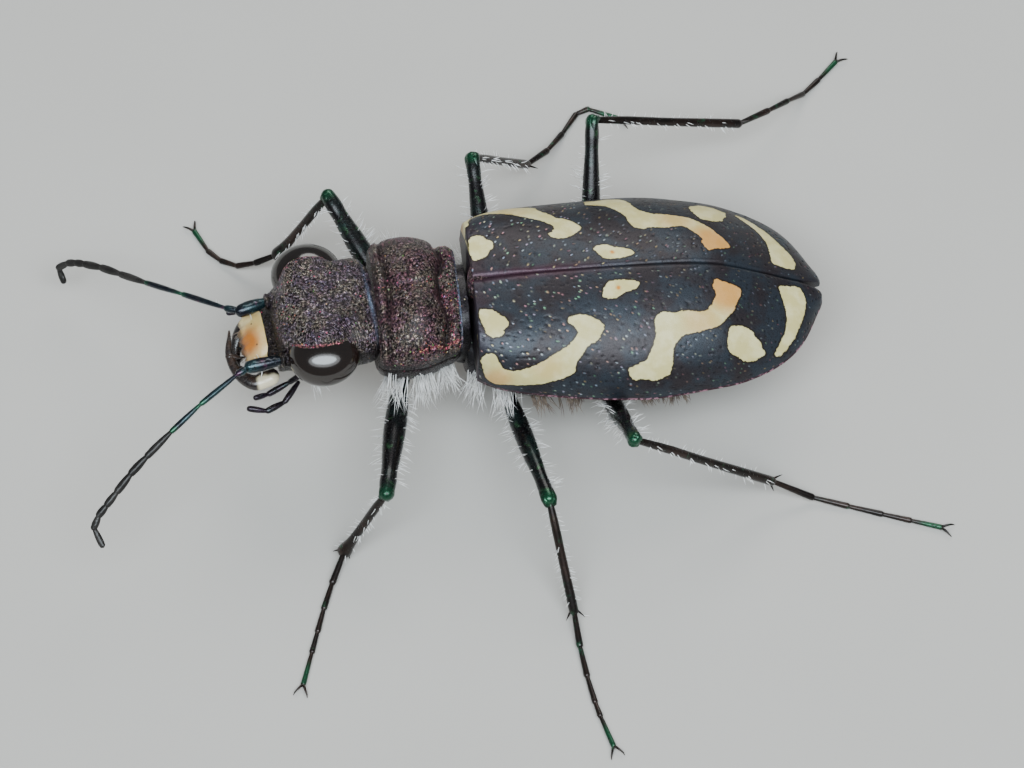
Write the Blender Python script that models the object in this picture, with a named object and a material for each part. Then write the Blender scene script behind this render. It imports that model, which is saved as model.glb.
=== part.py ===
"""A tiger beetle at life size, standing on its six feet.

Sizes are in millimetres in the working meshes, which turn into metres at the very end.
The body frame has its origin at the base of the wing cases, on the plane of their side
edges: +X runs back along the body, +Y to the beetle's right, +Z up. The whole body is
raised on its legs and pitched a little, head up. Legs and feelers are given in the floor
frame: the same directions, level, with Z counted from the floor.
"""

import math

import bmesh
import bpy
from mathutils import Euler, Matrix, Vector

# Driving sizes, in millimetres and degrees
MM = 0.001
GAP = 0.25  # clearance that neighbouring pieces keep
ELYTRA_LENGTH = 10.25
ELYTRA_HALF_WIDTH = 3.3
ELYTRA_HEIGHT = 2.0
ELYTRA_LIFT = 0.15  # height of their side edges in the body frame
TIP_START = 0.93  # share of the length where the tips begin to round
TIP_RECESS = 0.28  # how far the seam's edges round away from each other at the tip
BODY_LIFT = 3.5  # height of the body frame's origin over the floor
BODY_SIDE = 0.08  # how far it lies to the beetle's right of the floor frame's origin
BODY_PITCH = 4.8  # tail down
HEAD_YAW = 5.5  # the head is turned to the beetle's left
HEAD_PITCH = 4.65  # face down
NECK = Vector((-3.1, -0.08, 0.9))  # the head's pivot, in the body frame
EYE_CENTRE = Vector((-1.37, 1.32, -0.08))  # in the head frame, right eye
EYE_RADII = Vector((1.06, 0.97, 0.92))
THIN = 0.25  # radius of the thinnest limbs and feelers before their tips
COXA_RADIUS = 0.44
KNEE_RADIUS = 0.27
FEMUR_ROOM = 0.42  # what the body clears round a femur
FEMUR_START = 0.82  # from the coxa's centre to the femur's first ring
FEMUR_SIDES = 10
LIMB_SIDES = 8
FLAT, ROUND = (), ((0.45, 0.9), (0.85, 0.5))  # rings past an end: reach and size, in radii

# The wing cases: share of the length, of the half width and of the height, and the power
# that rounds their cross-section
ELYTRA_OUTLINE = (
    (0.0, 0.72, 0.85, 3.6),
    (0.021, 0.763, 0.86, 3.5),
    (0.061, 0.821, 0.885, 3.2),
    (0.115, 0.867, 0.915, 2.85),
    (0.183, 0.91, 0.94, 2.45),
    (0.252, 0.944, 0.96, 2.2),
    (0.335, 0.975, 0.98, 2.0),
    (0.42, 0.993, 0.995, 1.95),
    (0.475, 1.0, 1.0, 1.9),
    (0.546, 0.983, 1.0, 1.9),
    (0.618, 0.952, 0.98, 1.85),
    (0.684, 0.922, 0.92, 1.8),
    (0.738, 0.89, 0.82, 1.7),
    (0.804, 0.815, 0.66, 1.65),
    (0.847, 0.747, 0.55, 1.6),
    (0.884, 0.666, 0.45, 1.6),
    (0.911, 0.588, 0.385, 1.6),
    (0.935, 0.496, 0.32, 1.6),
    (0.957, 0.385, 0.26, 1.6),
    (0.978, 0.26, 0.2, 1.6),
    (0.993, 0.18, 0.14, 1.6),
    (1.0, 0.13, 0.09, 1.6),
)

# Sections along a body piece: x, half width, top, height of the widest level, bottom
PROTHORAX = (
    (-2.76, 1.84, 1.20, 0.5, -0.75),
    (-2.64, 1.97, 1.42, 0.55, -1.0),
    (-2.38, 2.03, 1.44, 0.58, -1.2),
    (-2.2, 2.05, 1.58, 0.6, -1.3),
    (-1.9, 2.07, 1.70, 0.6, -1.38),
    (-1.5, 2.03, 1.74, 0.6, -1.38),
    (-1.15, 1.92, 1.66, 0.6, -1.32),
    (-0.9, 1.82, 1.46, 0.62, -1.25),
    (-0.72, 1.75, 1.42, 0.65, -1.15),
    (-0.53, 1.69, 1.48, 0.68, -1.0),
    (-0.38, 1.57, 1.34, 0.68, -0.8),
)
HEAD = (
    (0.35, 1.20, 0.22, -0.3, -0.95),
    (0.1, 1.55, 0.46, -0.3, -1.3),
    (-0.3, 1.60, 0.60, -0.3, -1.5),
    (-0.8, 1.47, 0.68, -0.3, -1.68),
    (-1.4, 1.46, 0.72, -0.25, -1.8),
    (-1.95, 1.30, 0.66, -0.25, -1.86),
    (-2.3, 1.16, 0.42, -0.4, -1.86),
    (-2.5, 1.12, 0.12, -0.6, -1.82),
    (-2.62, 1.08, -0.18, -0.8, -1.72),
)
SOCKET_RADIUS = 0.27
BROW_CENTRE = Vector((-1.42, 1.03, 0.56))
BROW_RADII = Vector((0.88, 0.5, 0.27))
CLYPEUS = (
    (-2.3, 0.95, 0.1, -0.5, -1.0),
    (-2.6, 0.93, -0.2, -0.6, -1.05),
    (-2.74, 0.90, -0.42, -0.75, -1.1),
)
LABRUM = (
    (-2.99, 0.88, -0.50, -0.93, -1.03),
    (-3.15, 0.98, -0.60, -0.97, -1.07),
    (-3.3, 0.92, -0.72, -1.00, -1.10),
    (-3.42, 0.70, -0.84, -1.03, -1.13),
    (-3.5, 0.35, -0.92, -1.05, -1.14),
)
COLLAR = (
    (-1.0, 1.05, 0.95, 0.1, -0.9),
    (-0.7, 1.25, 1.1, 0.1, -1.1),
    (-0.4, 1.35, 1.2, 0.1, -1.25),
    (-0.25, 1.30, 1.15, 0.1, -1.35),
)
SECTION_POWER = 2.4  # rounds the cross-sections of body pieces
SKULL_POWER = 2.6
WAIST_CENTRE = Vector((-0.2, 0.0, -0.8))
WAIST_RADII = Vector((0.55, 1.2, 0.45))
STERNUM = (
    (-0.15, 1.55, -0.15, -0.5, -1.35),
    (0.3, 1.95, -0.1, -0.5, -1.6),
    (1.2, 2.3, -0.1, -0.5, -1.78),
    (2.2, 2.5, -0.1, -0.5, -1.8),
    (4.1, 2.5, -0.1, -0.5, -1.6),
)
SCUTELLUM_LENGTH = 0.68
SCUTELLUM_HALF_WIDTH = 0.6
SCUTELLUM_TOP = 1.8
SCUTELLUM_THICKNESS = 0.5
ABDOMEN_START = 4.37
STERNITES = 6

# Legs in the floor frame: knee, ankle, then the foot's joints down to its tip. The coxa's
# centre is in the body frame.
LEGS = {
    "fore_left": {
        "coxa": (-1.9, -1.0, -1.15),
        "knee": (-2.88, -5.17, 2.75),
        "ankle": (-4.17, -5.55, 0.42),
        "foot": [(-4.75, -6.75, 0.2), (-5.2, -8.0, 0.19), (-5.75, -9.6, 0.17)],
    },
    "middle_left": {
        "coxa": (0.9, -1.35, -1.35),
        "knee": (1.68, -5.76, 2.6),
        "ankle": (2.12, -8.25, 0.45),
        "foot": [(2.2, -9.6, 0.2), (2.4, -11.1, 0.19), (2.75, -12.5, 0.17)],
    },
    "hind_left": {
        "coxa": (3.85, -1.5, -1.35),
        "knee": (4.14, -5.25, 4.6),
        "ankle": (8.25, -4.95, 0.95),
        "foot": [(9.6, -5.3, 0.22), (11.3, -5.95, 0.19), (12.96, -6.58, 0.17)],
    },
    "fore_right": {
        "coxa": (-1.9, 1.0, -1.15),
        "knee": (-3.6, 4.43, 3.5),
        "ankle": (-5.17, 4.18, 1.05),
        "foot": [(-6.1, 4.25, 0.5), (-6.69, 4.55, 0.2), (-7.2, 5.05, 0.19), (-7.55, 5.8, 0.17)],
    },
    "middle_right": {
        "coxa": (0.9, 1.35, -1.35),
        "knee": (0.69, 5.28, 3.5),
        "ankle": (2.45, 6.55, 0.92),
        "foot": [(3.3, 7.39, 0.45), (3.85, 8.2, 0.19), (4.35, 8.75, 0.18), (5.0, 8.6, 0.18),
                 (5.45, 8.3, 0.17)],
    },
    "hind_right": {
        "coxa": (3.85, 1.5, -1.35),
        "knee": (4.25, 5.67, 4.3),
        "ankle": (8.8, 6.75, 1.75),
        "foot": [(10.0, 7.58, 1.15), (10.72, 8.24, 0.6), (11.2, 8.68, 0.2), (12.17, 9.62, 0.17)],
    },
}
FEMUR_RADIUS = {"fore": 0.32, "middle": 0.28, "hind": 0.28}
FEMUR_BOW = {"fore": 0.05, "middle": 0.05, "hind": 0.42}  # how far the base of the femur sags

SPIKE_RADII = (0.15, 0.11, 0.04)
CLAW_HEIGHTS = (0.17, 0.22, 0.06)

# Feelers in the floor frame, from the socket on the head to the tip
FEELERS = {
    "left": {
        "scape": [(-5.48, -1.42, 4.35), (-6.39, -1.58, 4.4), (-6.72, -1.76, 4.4)],
        "shaft": [(-6.72, -1.76, 4.4), (-7.88, -2.56, 4.25), (-8.78, -3.22, 4.0)],
        "whip": [(-8.78, -3.22, 4.0), (-9.52, -3.76, 3.7), (-10.0, -4.11, 3.45),
                 (-10.44, -4.51, 3.2)],
        "tip": [(-10.44, -4.51, 3.2), (-11.01, -5.0, 2.83), (-11.19, -5.28, 2.62),
                (-11.0, -5.73, 2.35)],
    },
    "right": {
        "scape": [(-5.77, 0.46, 4.5), (-6.48, 0.2, 4.55), (-6.87, 0.4, 4.45)],
        "shaft": [(-6.87, 0.4, 4.45), (-8.1, 1.42, 3.8), (-9.11, 2.34, 3.1)],
        "whip": [(-9.11, 2.34, 3.1), (-9.81, 3.01, 2.6), (-10.33, 3.5, 2.25),
                 (-10.81, 3.86, 1.95)],
        "tip": [(-10.81, 3.86, 1.95), (-11.22, 4.12, 1.68), (-11.6, 4.2, 1.35),
                (-11.49, 3.95, 0.95)],
    },
}

# Mouth parts in the head frame, left side; the right side's jaw crosses below the left one
JAW_LEFT = [(-2.9, -0.92, -1.6), (-3.35, -0.98, -1.65), (-3.75, -0.6, -1.65),
            (-3.9, 0.05, -1.58), (-3.78, 0.7, -1.42)]
JAW_RIGHT = [(-2.9, 0.92, -1.62), (-3.3, 0.98, -1.85), (-3.6, 0.65, -2.12),
             (-3.72, 0.1, -2.25), (-3.62, -0.45, -2.18)]
JAW_RADII = (0.27, 0.27, 0.25, 0.2, 0.07)
UPPER_PALP = [(-2.1, -1.02, -2.0), (-2.6, -1.5, -2.15), (-3.15, -1.72, -2.1),
              (-3.66, -1.62, -1.95)]
LOWER_PALP = [(-1.75, -0.5, -2.35), (-2.3, -0.55, -2.75), (-2.95, -0.7, -2.95),
              (-3.35, -0.8, -2.85)]
PALP_RADII = (THIN, THIN, 0.27, 0.2)

# Colours and finishes: linear colour, roughness, metallic
FINISHES = {
    "dark_shell": ((0.030, 0.018, 0.020), 0.42, 0.35),
    "wing_case": ((0.022, 0.016, 0.020), 0.5, 0.2),
    "eye": ((0.012, 0.008, 0.007), 0.12, 0.0),
    "ivory": ((0.62, 0.50, 0.30), 0.45, 0.0),
    "jaw": ((0.012, 0.009, 0.008), 0.25, 0.0),
    "green_leg": ((0.010, 0.030, 0.020), 0.3, 0.6),
    "feeler": ((0.020, 0.022, 0.024), 0.6, 0.2),
}

body_turn = Matrix.Rotation(math.radians(BODY_PITCH), 4, "Y")
body_place = Matrix.Translation((0, BODY_SIDE, BODY_LIFT)) @ body_turn
head_turn = Euler((0, -math.radians(HEAD_PITCH), math.radians(HEAD_YAW))).to_matrix().to_4x4()
head_place = body_place @ Matrix.Translation(NECK) @ head_turn


def clear_scene():
    for obj in list(bpy.data.objects):
        bpy.data.objects.remove(obj)


def finish_material(name):
    """The named finish as a material, made once."""
    made = bpy.data.materials.get(name)
    if made:
        return made
    colour, roughness, metallic = FINISHES[name]
    made = bpy.data.materials.new(name)
    made.use_nodes = True
    shader = made.node_tree.nodes["Principled BSDF"]
    shader.inputs["Base Color"].default_value = (*colour, 1)
    shader.inputs["Roughness"].default_value = roughness
    shader.inputs["Metallic"].default_value = metallic
    return made


def rings_solid(name, rings, first, last):
    """A closed solid: a sphere's rings, each moved to one of the given rings of points, with its
    two poles at the points first and last."""
    sides = len(rings[0])
    rows = len(rings) + 1
    bm = bmesh.new()
    bmesh.ops.create_uvsphere(bm, u_segments=sides, v_segments=rows, radius=1)
    for vert in bm.verts:
        row = round(math.acos(max(-1, min(1, vert.co.z))) / math.pi * rows)
        side = round(math.atan2(vert.co.y, vert.co.x) / math.tau * sides) % sides
        if row == 0:
            vert.co = first
        elif row == rows:
            vert.co = last
        else:
            vert.co = rings[row - 1][side]
    if bm.calc_volume(signed=True) < 0:
        bmesh.ops.reverse_faces(bm, faces=bm.faces)
    mesh = bpy.data.meshes.new(name)
    bm.to_mesh(mesh)
    bm.free()
    obj = bpy.data.objects.new(name, mesh)
    bpy.context.scene.collection.objects.link(obj)
    return obj


def between(keys, at):
    """Values read from rows of (position, value, ...) on a smooth curve through the rows."""
    rows = sorted(keys)
    spots = [row[0] for row in rows]
    at = min(max(at, spots[0]), spots[-1])
    i = max(k for k in range(len(rows) - 1) if spots[k] <= at)
    start, end = rows[i], rows[i + 1]
    before, after = rows[max(i - 1, 0)], rows[min(i + 2, len(rows) - 1)]
    span = end[0] - start[0]
    t = (at - start[0]) / span
    found = []
    for k in range(1, len(start)):
        slope_a = (end[k] - before[k]) / (end[0] - before[0]) * span
        slope_b = (after[k] - start[k]) / (after[0] - start[0]) * span
        found.append(
            (2 * t**3 - 3 * t**2 + 1) * start[k] + (t**3 - 2 * t**2 + t) * slope_a
            + (3 * t**2 - 2 * t**3) * end[k] + (t**3 - t**2) * slope_b
        )
    return found


def section_point(x, half_width, top, middle, bottom, angle, power):
    """A point on a rounded section, from the right side (angle 0) over the top."""
    across, rise = math.cos(angle), math.sin(angle)
    y = half_width * math.copysign(abs(across) ** (2 / power), across)
    reach = top - middle if rise > 0 else middle - bottom
    return Vector((x, y, middle + reach * math.copysign(abs(rise) ** (2 / power), rise)))


def body_piece(name, sections, rows, sides, power=SECTION_POWER, grow=0.0):
    """A solid along X with the given sections, thickened all round by grow."""
    low, high = min(s[0] for s in sections), max(s[0] for s in sections)
    rings = []
    for row in range(rows):
        x = low + (high - low) * row / (rows - 1)
        half_width, top, middle, bottom = between(sections, x)
        placed = x + grow * (2 * row / (rows - 1) - 1)
        sizes = (placed, half_width + grow, top + grow, middle, bottom - grow)
        angles = [math.tau * k / sides for k in range(sides)]
        rings.append([section_point(*sizes, angle, power) for angle in angles])
    ends = [sum(ring, Vector()) / sides for ring in (rings[0], rings[-1])]
    return rings_solid(name, rings, *ends)


def ellipsoid(name, centre, radii, rows=8, sides=14):
    bm = bmesh.new()
    bmesh.ops.create_uvsphere(bm, u_segments=sides, v_segments=rows, radius=1)
    bmesh.ops.scale(bm, vec=radii, verts=bm.verts)
    bmesh.ops.translate(bm, vec=centre, verts=bm.verts)
    mesh = bpy.data.meshes.new(name)
    bm.to_mesh(mesh)
    bm.free()
    obj = bpy.data.objects.new(name, mesh)
    bpy.context.scene.collection.objects.link(obj)
    return obj


def spline_point(points, t):
    """A point at share t of a smooth curve through the points, and its other values."""
    last = len(points) - 1
    rows = [(i, *point) for i, point in enumerate(points)]
    return Vector(between(rows, t * last))


def limb(name, points, radii, ends=(FLAT, ROUND), sides=LIMB_SIDES, steps=2):
    """A round tapering limb through the points, each with its radius. What would sink below the
    floor is pressed flat on it."""
    rows = (len(points) - 1) * steps
    line = [spline_point(points, k / rows) for k in range(rows + 1)]
    thick = [between([(i, r) for i, r in enumerate(radii)], k / steps)[0] for k in range(rows + 1)]
    rings = []
    for k, centre in enumerate(line):
        along = (line[min(k + 1, rows)] - line[max(k - 1, 0)]).normalized()
        across = along.cross(Vector((0, 0, 1)))
        across = across.normalized() if across.length > 1e-3 else Vector((0, 1, 0))
        above = across.cross(along)
        spots = [(0.0, 1.0)]
        if k == 0:
            spots = [(-reach, share) for reach, share in reversed(ends[0])] + spots
        if k == rows:
            spots = spots + list(ends[1])
        for reach, share in spots:
            rings.append([
                centre + along * reach * thick[k]
                + (across * math.cos(a) + above * math.sin(a)) * thick[k] * share
                for a in (math.tau * (s + 0.5) / sides for s in range(sides))
            ])
    for ring in rings:
        for point in ring:
            point.z = max(point.z, 0.0)
    first, last = (sum(ring, Vector()) / sides for ring in (rings[0], rings[-1]))
    return rings_solid(name, rings, first, last)


def combine(base, others, operation):
    """One Boolean of the base with a collection of closed solids, applied; the others are removed."""
    group = bpy.data.collections.new(base.name + "_pieces")
    bpy.context.scene.collection.children.link(group)
    for other in others:
        bpy.context.scene.collection.objects.unlink(other)
        group.objects.link(other)
    step = base.modifiers.new("combine", "BOOLEAN")
    step.operation = operation
    step.operand_type = "COLLECTION"
    step.collection = group
    step.solver = "EXACT"
    bpy.context.view_layer.update()
    shaped = base.evaluated_get(bpy.context.evaluated_depsgraph_get())
    joined = bpy.data.meshes.new_from_object(shaped)
    base.modifiers.clear()
    base.data = joined
    for other in others:
        bpy.data.objects.remove(other)
    bpy.data.collections.remove(group)
    keep_largest(base)
    return base


def keep_largest(obj):
    """Keeps only the object's largest closed surface."""
    bm = bmesh.new()
    bm.from_mesh(obj.data)
    left, shells = set(bm.verts), []
    while left:
        shell, edge = set(), [left.pop()]
        while edge:
            vert = edge.pop()
            shell.add(vert)
            for link in vert.link_edges:
                other = link.other_vert(vert)
                if other in left:
                    left.discard(other)
                    edge.append(other)
        shells.append(shell)
    largest = max(shells, key=len)
    bmesh.ops.delete(bm, geom=[v for v in bm.verts if v not in largest], context="VERTS")
    bm.to_mesh(obj.data)
    bm.free()


def finish(obj, finish_name, place):
    """Gives a node its material and its place in the floor frame."""
    obj.data.materials.clear()
    obj.data.materials.append(finish_material(finish_name))
    obj.data.shade_smooth()
    obj.data.set_sharp_from_angle(angle=math.radians(40))
    obj.data.transform(place)
    return obj


def elytron(side):
    """One wing case, solid down to the plane of its side edge. side is -1 on the left."""
    over, under, wall = 13, 4, 3
    rings = []
    for share, wide, high, roundness in elytra_stations():
        x = share * ELYTRA_LENGTH
        width = wide * ELYTRA_HALF_WIDTH
        height = high * ELYTRA_HEIGHT
        power = 2 / roundness
        recess = TIP_RECESS * max(0.0, (share - TIP_START) / (1 - TIP_START)) ** 2
        inner = min(GAP / 2 + recess, width * 0.75)
        ring = []
        for k in range(over):
            angle = math.pi / 2 * k / over
            y = inner + (width - inner) * math.sin(angle) ** power
            z = ELYTRA_LIFT + height * math.cos(angle) ** power
            ring.append(Vector((x, side * y, z)))
        for k in range(under):
            y = width + (inner - width) * k / under
            ring.append(Vector((x, side * y, ELYTRA_LIFT)))
        for k in range(wall):
            ring.append(Vector((x, side * inner, ELYTRA_LIFT + height * k / wall)))
        rings.append(ring)
    first, last = (sum(ring, Vector()) / len(ring) for ring in (rings[0], rings[-1]))
    return rings_solid("elytron_" + ("left" if side < 0 else "right"), rings, first, last)


def elytra_stations(rows=20):
    """Stations along the wing cases, closer together towards the tip."""
    for row in range(rows):
        share = math.sin(math.pi / 2 * row / (rows - 1)) ** 1.15
        yield (share, *between(ELYTRA_OUTLINE, share))


def scutellum(grow=0.0):
    """The small three-cornered shield between the bases of the wing cases."""
    bm = bmesh.new()
    low = SCUTELLUM_TOP - SCUTELLUM_THICKNESS - grow
    high = SCUTELLUM_TOP + 2 * grow
    back = SCUTELLUM_LENGTH + 1.6 * grow
    half = SCUTELLUM_HALF_WIDTH + 1.25 * grow
    front = -0.14 - 2 * grow
    outline = (
        (front, -half),
        (front, half),
        (0.05, half),
        (back, 0.08),
        (back, -0.08),
        (0.05, -half),
    )
    base = bm.faces.new([bm.verts.new((x, y, low)) for x, y in outline])
    raised = bmesh.ops.extrude_face_region(bm, geom=[base])
    verts = [part for part in raised["geom"] if isinstance(part, bmesh.types.BMVert)]
    bmesh.ops.translate(bm, vec=(0, 0, high - low), verts=verts)
    bmesh.ops.recalc_face_normals(bm, faces=bm.faces)
    mesh = bpy.data.meshes.new("scutellum")
    bm.to_mesh(mesh)
    bm.free()
    obj = bpy.data.objects.new("scutellum", mesh)
    bpy.context.scene.collection.objects.link(obj)
    return obj


def make_elytra():
    for side in (-1, 1):
        case = elytron(side)
        combine(case, [scutellum(GAP)], "DIFFERENCE")
        finish(case, "wing_case", body_place)
    finish(scutellum(), "dark_shell", body_place)


def femur_line(name, start_share=0.0):
    """The bowed middle line of a femur, in the floor frame, from its coxa's centre to the knee."""
    leg = LEGS[name]
    coxa, knee = body_place @ Vector(leg["coxa"]), Vector(leg["knee"])
    bow = FEMUR_BOW[name.split("_")[0]]
    shares = [start_share + (1 - start_share) * k / 5 for k in range(6)]
    return [coxa.lerp(knee, s) - Vector((0, 0, bow * 6.75 * s * (1 - s) ** 2)) for s in shares]


def femur_cuts(*pairs):
    """Room for the femora of these pairs where they leave the body, in the body frame."""
    cuts = []
    for name in LEGS:
        pair = name.split("_")[0]
        if pair in pairs:
            line = femur_line(name, 0.1)
            cut = limb("cut", line, (FEMUR_RADIUS[pair] + FEMUR_ROOM,) * len(line), steps=1)
            cut.data.transform(body_place.inverted())
            cuts.append(cut)
    return cuts


def coxae(radius, *pairs):
    """The round coxae of these pairs, in the body frame."""
    centres = [Vector(leg["coxa"]) for name, leg in LEGS.items() if name.split("_")[0] in pairs]
    return [ellipsoid("coxa", centre, (radius,) * 3) for centre in centres]


def make_thorax():
    """The trunk under the wing cases, with the collar ahead of them and the four rear coxae."""
    trunk = body_piece("thorax", STERNUM, 7, 18)
    waist = ellipsoid("waist", WAIST_CENTRE, WAIST_RADII, 6, 14)
    combine(trunk, [body_piece("collar", COLLAR, 5, 18), waist], "UNION")
    combine(trunk, femur_cuts("middle", "hind"), "DIFFERENCE")
    combine(trunk, coxae(COXA_RADIUS, "middle", "hind"), "UNION")
    finish(trunk, "dark_shell", body_place)


def make_prothorax():
    """The pronotum and what it covers, hollowed in front for the head and behind for the collar."""
    shield = body_piece("prothorax", PROTHORAX, 15, 24, 2.5)
    combine(shield, femur_cuts("fore"), "DIFFERENCE")
    combine(shield, coxae(COXA_RADIUS, "fore"), "UNION")
    skull = body_piece("head_cut", HEAD, 12, 20, SKULL_POWER, GAP)
    skull.data.transform(Matrix.Translation(NECK) @ head_turn)
    collar = body_piece("collar_cut", COLLAR, 5, 18, grow=GAP)
    combine(shield, [skull, collar], "DIFFERENCE")
    finish(shield, "dark_shell", body_place)


def make_abdomen():
    """The belly, tapering to the tip, with a step at each sternite."""
    end = ELYTRA_LENGTH - 0.45
    keys = [
        (ABDOMEN_START, 2.62, -0.1, -0.5, -1.62),
        (5.5, 2.72, -0.1, -0.5, -1.5),
        (7.5, 2.4, -0.1, -0.45, -1.2),
        (8.8, 1.75, -0.1, -0.4, -0.9),
        (end, 0.6, -0.1, -0.35, -0.55),
    ]
    step = (end - ABDOMEN_START) / STERNITES
    rings = []
    sides = 20
    for k in range(STERNITES):
        for share, swell in ((0.04, 0.97), (0.5, 1.0), (0.96, 1.015)):
            x = ABDOMEN_START + step * (k + share)
            half_width, top, middle, bottom = between(keys, x)
            sizes = (x, half_width * swell, top, middle, bottom * swell)
            angles = [math.tau * s / sides for s in range(sides)]
            rings.append([section_point(*sizes, angle, SECTION_POWER) for angle in angles])
    first, last = (sum(ring, Vector()) / sides for ring in (rings[0], rings[-1]))
    belly = rings_solid("abdomen", rings, first, last)
    combine(belly, [*femur_cuts("hind"), *coxae(COXA_RADIUS + GAP, "hind")], "DIFFERENCE")
    finish(belly, "dark_shell", body_place)


def head_lumps(grow=0.0):
    """The raised brows over the eyes and the feelers' sockets, thickened all round by grow."""
    more = Vector((grow, grow, grow))
    lumps = []
    for side, name in ((-1, "left"), (1, "right")):
        brow = BROW_CENTRE * Vector((1, side, 1))
        lumps.append(ellipsoid("brow", brow, BROW_RADII + more, 8, 10))
        socket = head_place.inverted() @ Vector(FEELERS[name]["scape"][0])
        socket.x += SOCKET_RADIUS
        lumps.append(ellipsoid("socket", socket, Vector([SOCKET_RADIUS] * 3) + more, 6, 10))
    return lumps


def make_head():
    """The head capsule with its clypeus and lumps, and the two eyes set into its sides."""
    skull = body_piece("head", HEAD, 12, 20, SKULL_POWER)
    combine(skull, [body_piece("clypeus", CLYPEUS, 4, 16), *head_lumps()], "UNION")
    finish(skull, "dark_shell", head_place)
    for side, name in ((-1, "left"), (1, "right")):
        eye = ellipsoid("eye_" + name, EYE_CENTRE * Vector((1, side, 1)), EYE_RADII, 14, 22)
        cut = body_piece("head_cut", HEAD, 12, 20, SKULL_POWER, GAP)
        combine(eye, [cut, *head_lumps(GAP)], "DIFFERENCE")
        finish(eye, "eye", head_place)


def make_mouth():
    """Upper lip, crossed jaws and the two pairs of palps."""
    finish(body_piece("labrum", LABRUM, 7, 16, SKULL_POWER), "ivory", head_place)
    for name, line in (("left", JAW_LEFT), ("right", JAW_RIGHT)):
        line = [head_place @ Vector(p) for p in line]
        finish(limb("mandible_" + name, line, JAW_RADII, steps=3), "jaw", Matrix())
    for side, name in ((1, "left"), (-1, "right")):
        mirror = Matrix.Diagonal((1, side, 1, 1))
        for label, line in (("maxillary_palp_", UPPER_PALP), ("labial_palp_", LOWER_PALP)):
            points = [head_place @ mirror @ Vector(p) for p in line]
            finish(limb(label + name, points, PALP_RADII), "feeler", Matrix())


def shortened(points, at_start, at_end):
    """The points with both ends drawn in along the line, to leave room for a joint."""
    first, second = Vector(points[0]), Vector(points[1])
    last, before = Vector(points[-1]), Vector(points[-2])
    start = first + (second - first).normalized() * at_start
    end = last + (before - last).normalized() * at_end
    return [start, *[Vector(p) for p in points[1:-1]], end]


def make_feelers():
    """Each feeler in four lengths: the thick scape, then three lengths of the thin whip."""
    for side, parts in FEELERS.items():
        name = f"antenna_{side}_"
        scape = shortened(parts["scape"], SOCKET_RADIUS, GAP / 2)
        finish(limb(name + "scape", scape, (THIN,) * 3, (FLAT, FLAT)), "green_leg", Matrix())
        for part in ("shaft", "whip"):
            line = shortened(parts[part], GAP / 2, GAP / 2)
            finish(limb(name + part, line, (THIN,) * len(line), (FLAT, FLAT)), "feeler", Matrix())
        tip = shortened(parts["tip"], GAP / 2, 0)
        finish(limb(name + "tip", tip, (THIN, THIN, 0.22, 0.08)), "feeler", Matrix())


def spike(base, ahead, out, reach):
    """The line of a spine that leaves a limb at base, ahead and outwards."""
    middle = base + (ahead * 0.3 + out * 0.5) * reach
    tip = base + (ahead * 0.7 + out * 0.8) * reach
    return [base - ahead * 0.2, middle, tip]


def spur(ankle, along, toes, side):
    """A spur at the lower end of a shin, beside the foot."""
    out = along.cross(toes).normalized() * side
    line = spike(ankle - along * 0.1, along, out, 0.6)
    line = [Vector((p.x, p.y, max(p.z, SPIKE_RADII[0]))) for p in line]
    return limb("spur", line, SPIKE_RADII, sides=6, steps=1)


def claw(tip, ahead, side):
    """A hooked claw at the end of a foot, bent down to the floor."""
    out = ahead.cross(Vector((0, 0, 1))).normalized() * side
    line = [Vector((p.x, p.y, z)) for p, z in zip(spike(tip, ahead, out, 0.55), CLAW_HEIGHTS)]
    return limb("claw", line, SPIKE_RADII, sides=6, steps=1)


def make_leg(name, leg):
    """Femur, tibia and tarsus, each starting a gap away from the round end it joins."""
    pair, side = name.split("_")
    label = f"{pair}_leg_{side}_"
    knee, ankle = Vector(leg["knee"]), Vector(leg["ankle"])
    foot = [Vector(p) for p in leg["foot"]]
    thick = FEMUR_RADIUS[pair]
    reach = (knee - body_place @ Vector(leg["coxa"])).length
    thigh = femur_line(name, FEMUR_START / reach)
    radii = (THIN, THIN, thick, thick, thick * 0.9, KNEE_RADIUS)
    femur = limb(label + "femur", thigh, radii, sides=FEMUR_SIDES, steps=1)
    finish(femur, "green_leg", Matrix())
    along, toes = (ankle - knee).normalized(), (foot[0] - ankle).normalized()
    start = knee + along * (KNEE_RADIUS + GAP)
    shin = [start, start.lerp(ankle, 0.5), start.lerp(ankle, 0.9), ankle]
    tibia = limb(label + "tibia", shin, (THIN, THIN, 0.28, THIN), steps=1)
    combine(tibia, [spur(ankle, along, toes, s) for s in (-1, 1)], "UNION")
    finish(tibia, "green_leg", Matrix())
    line = [ankle + toes * (THIN + GAP), *foot]
    tarsus = limb(label + "tarsus", line, [THIN] * (len(line) - 1) + [0.2])
    ahead = (foot[-1] - foot[-2]).normalized()
    combine(tarsus, [claw(foot[-1], ahead, s) for s in (-1, 1)], "UNION")
    finish(tarsus, "green_leg", Matrix())


def centre_on_floor():
    """Turns all the meshes into metres, on one empty that puts the box's middle over the origin."""
    nodes = [obj for obj in bpy.context.scene.objects if obj.type == "MESH"]
    corners = [Vector(v.co) for obj in nodes for v in obj.data.vertices]
    low = Vector(min(c[i] for c in corners) for i in range(3))
    high = Vector(max(c[i] for c in corners) for i in range(3))
    stand = bpy.data.objects.new("tiger_beetle", None)
    bpy.context.scene.collection.objects.link(stand)
    stand.location = (-MM * (low.x + high.x) / 2, -MM * (low.y + high.y) / 2, -MM * low.z)
    for obj in nodes:
        obj.data.transform(Matrix.Scale(MM, 4))
        obj.parent = stand
    bpy.context.view_layer.update()


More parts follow.
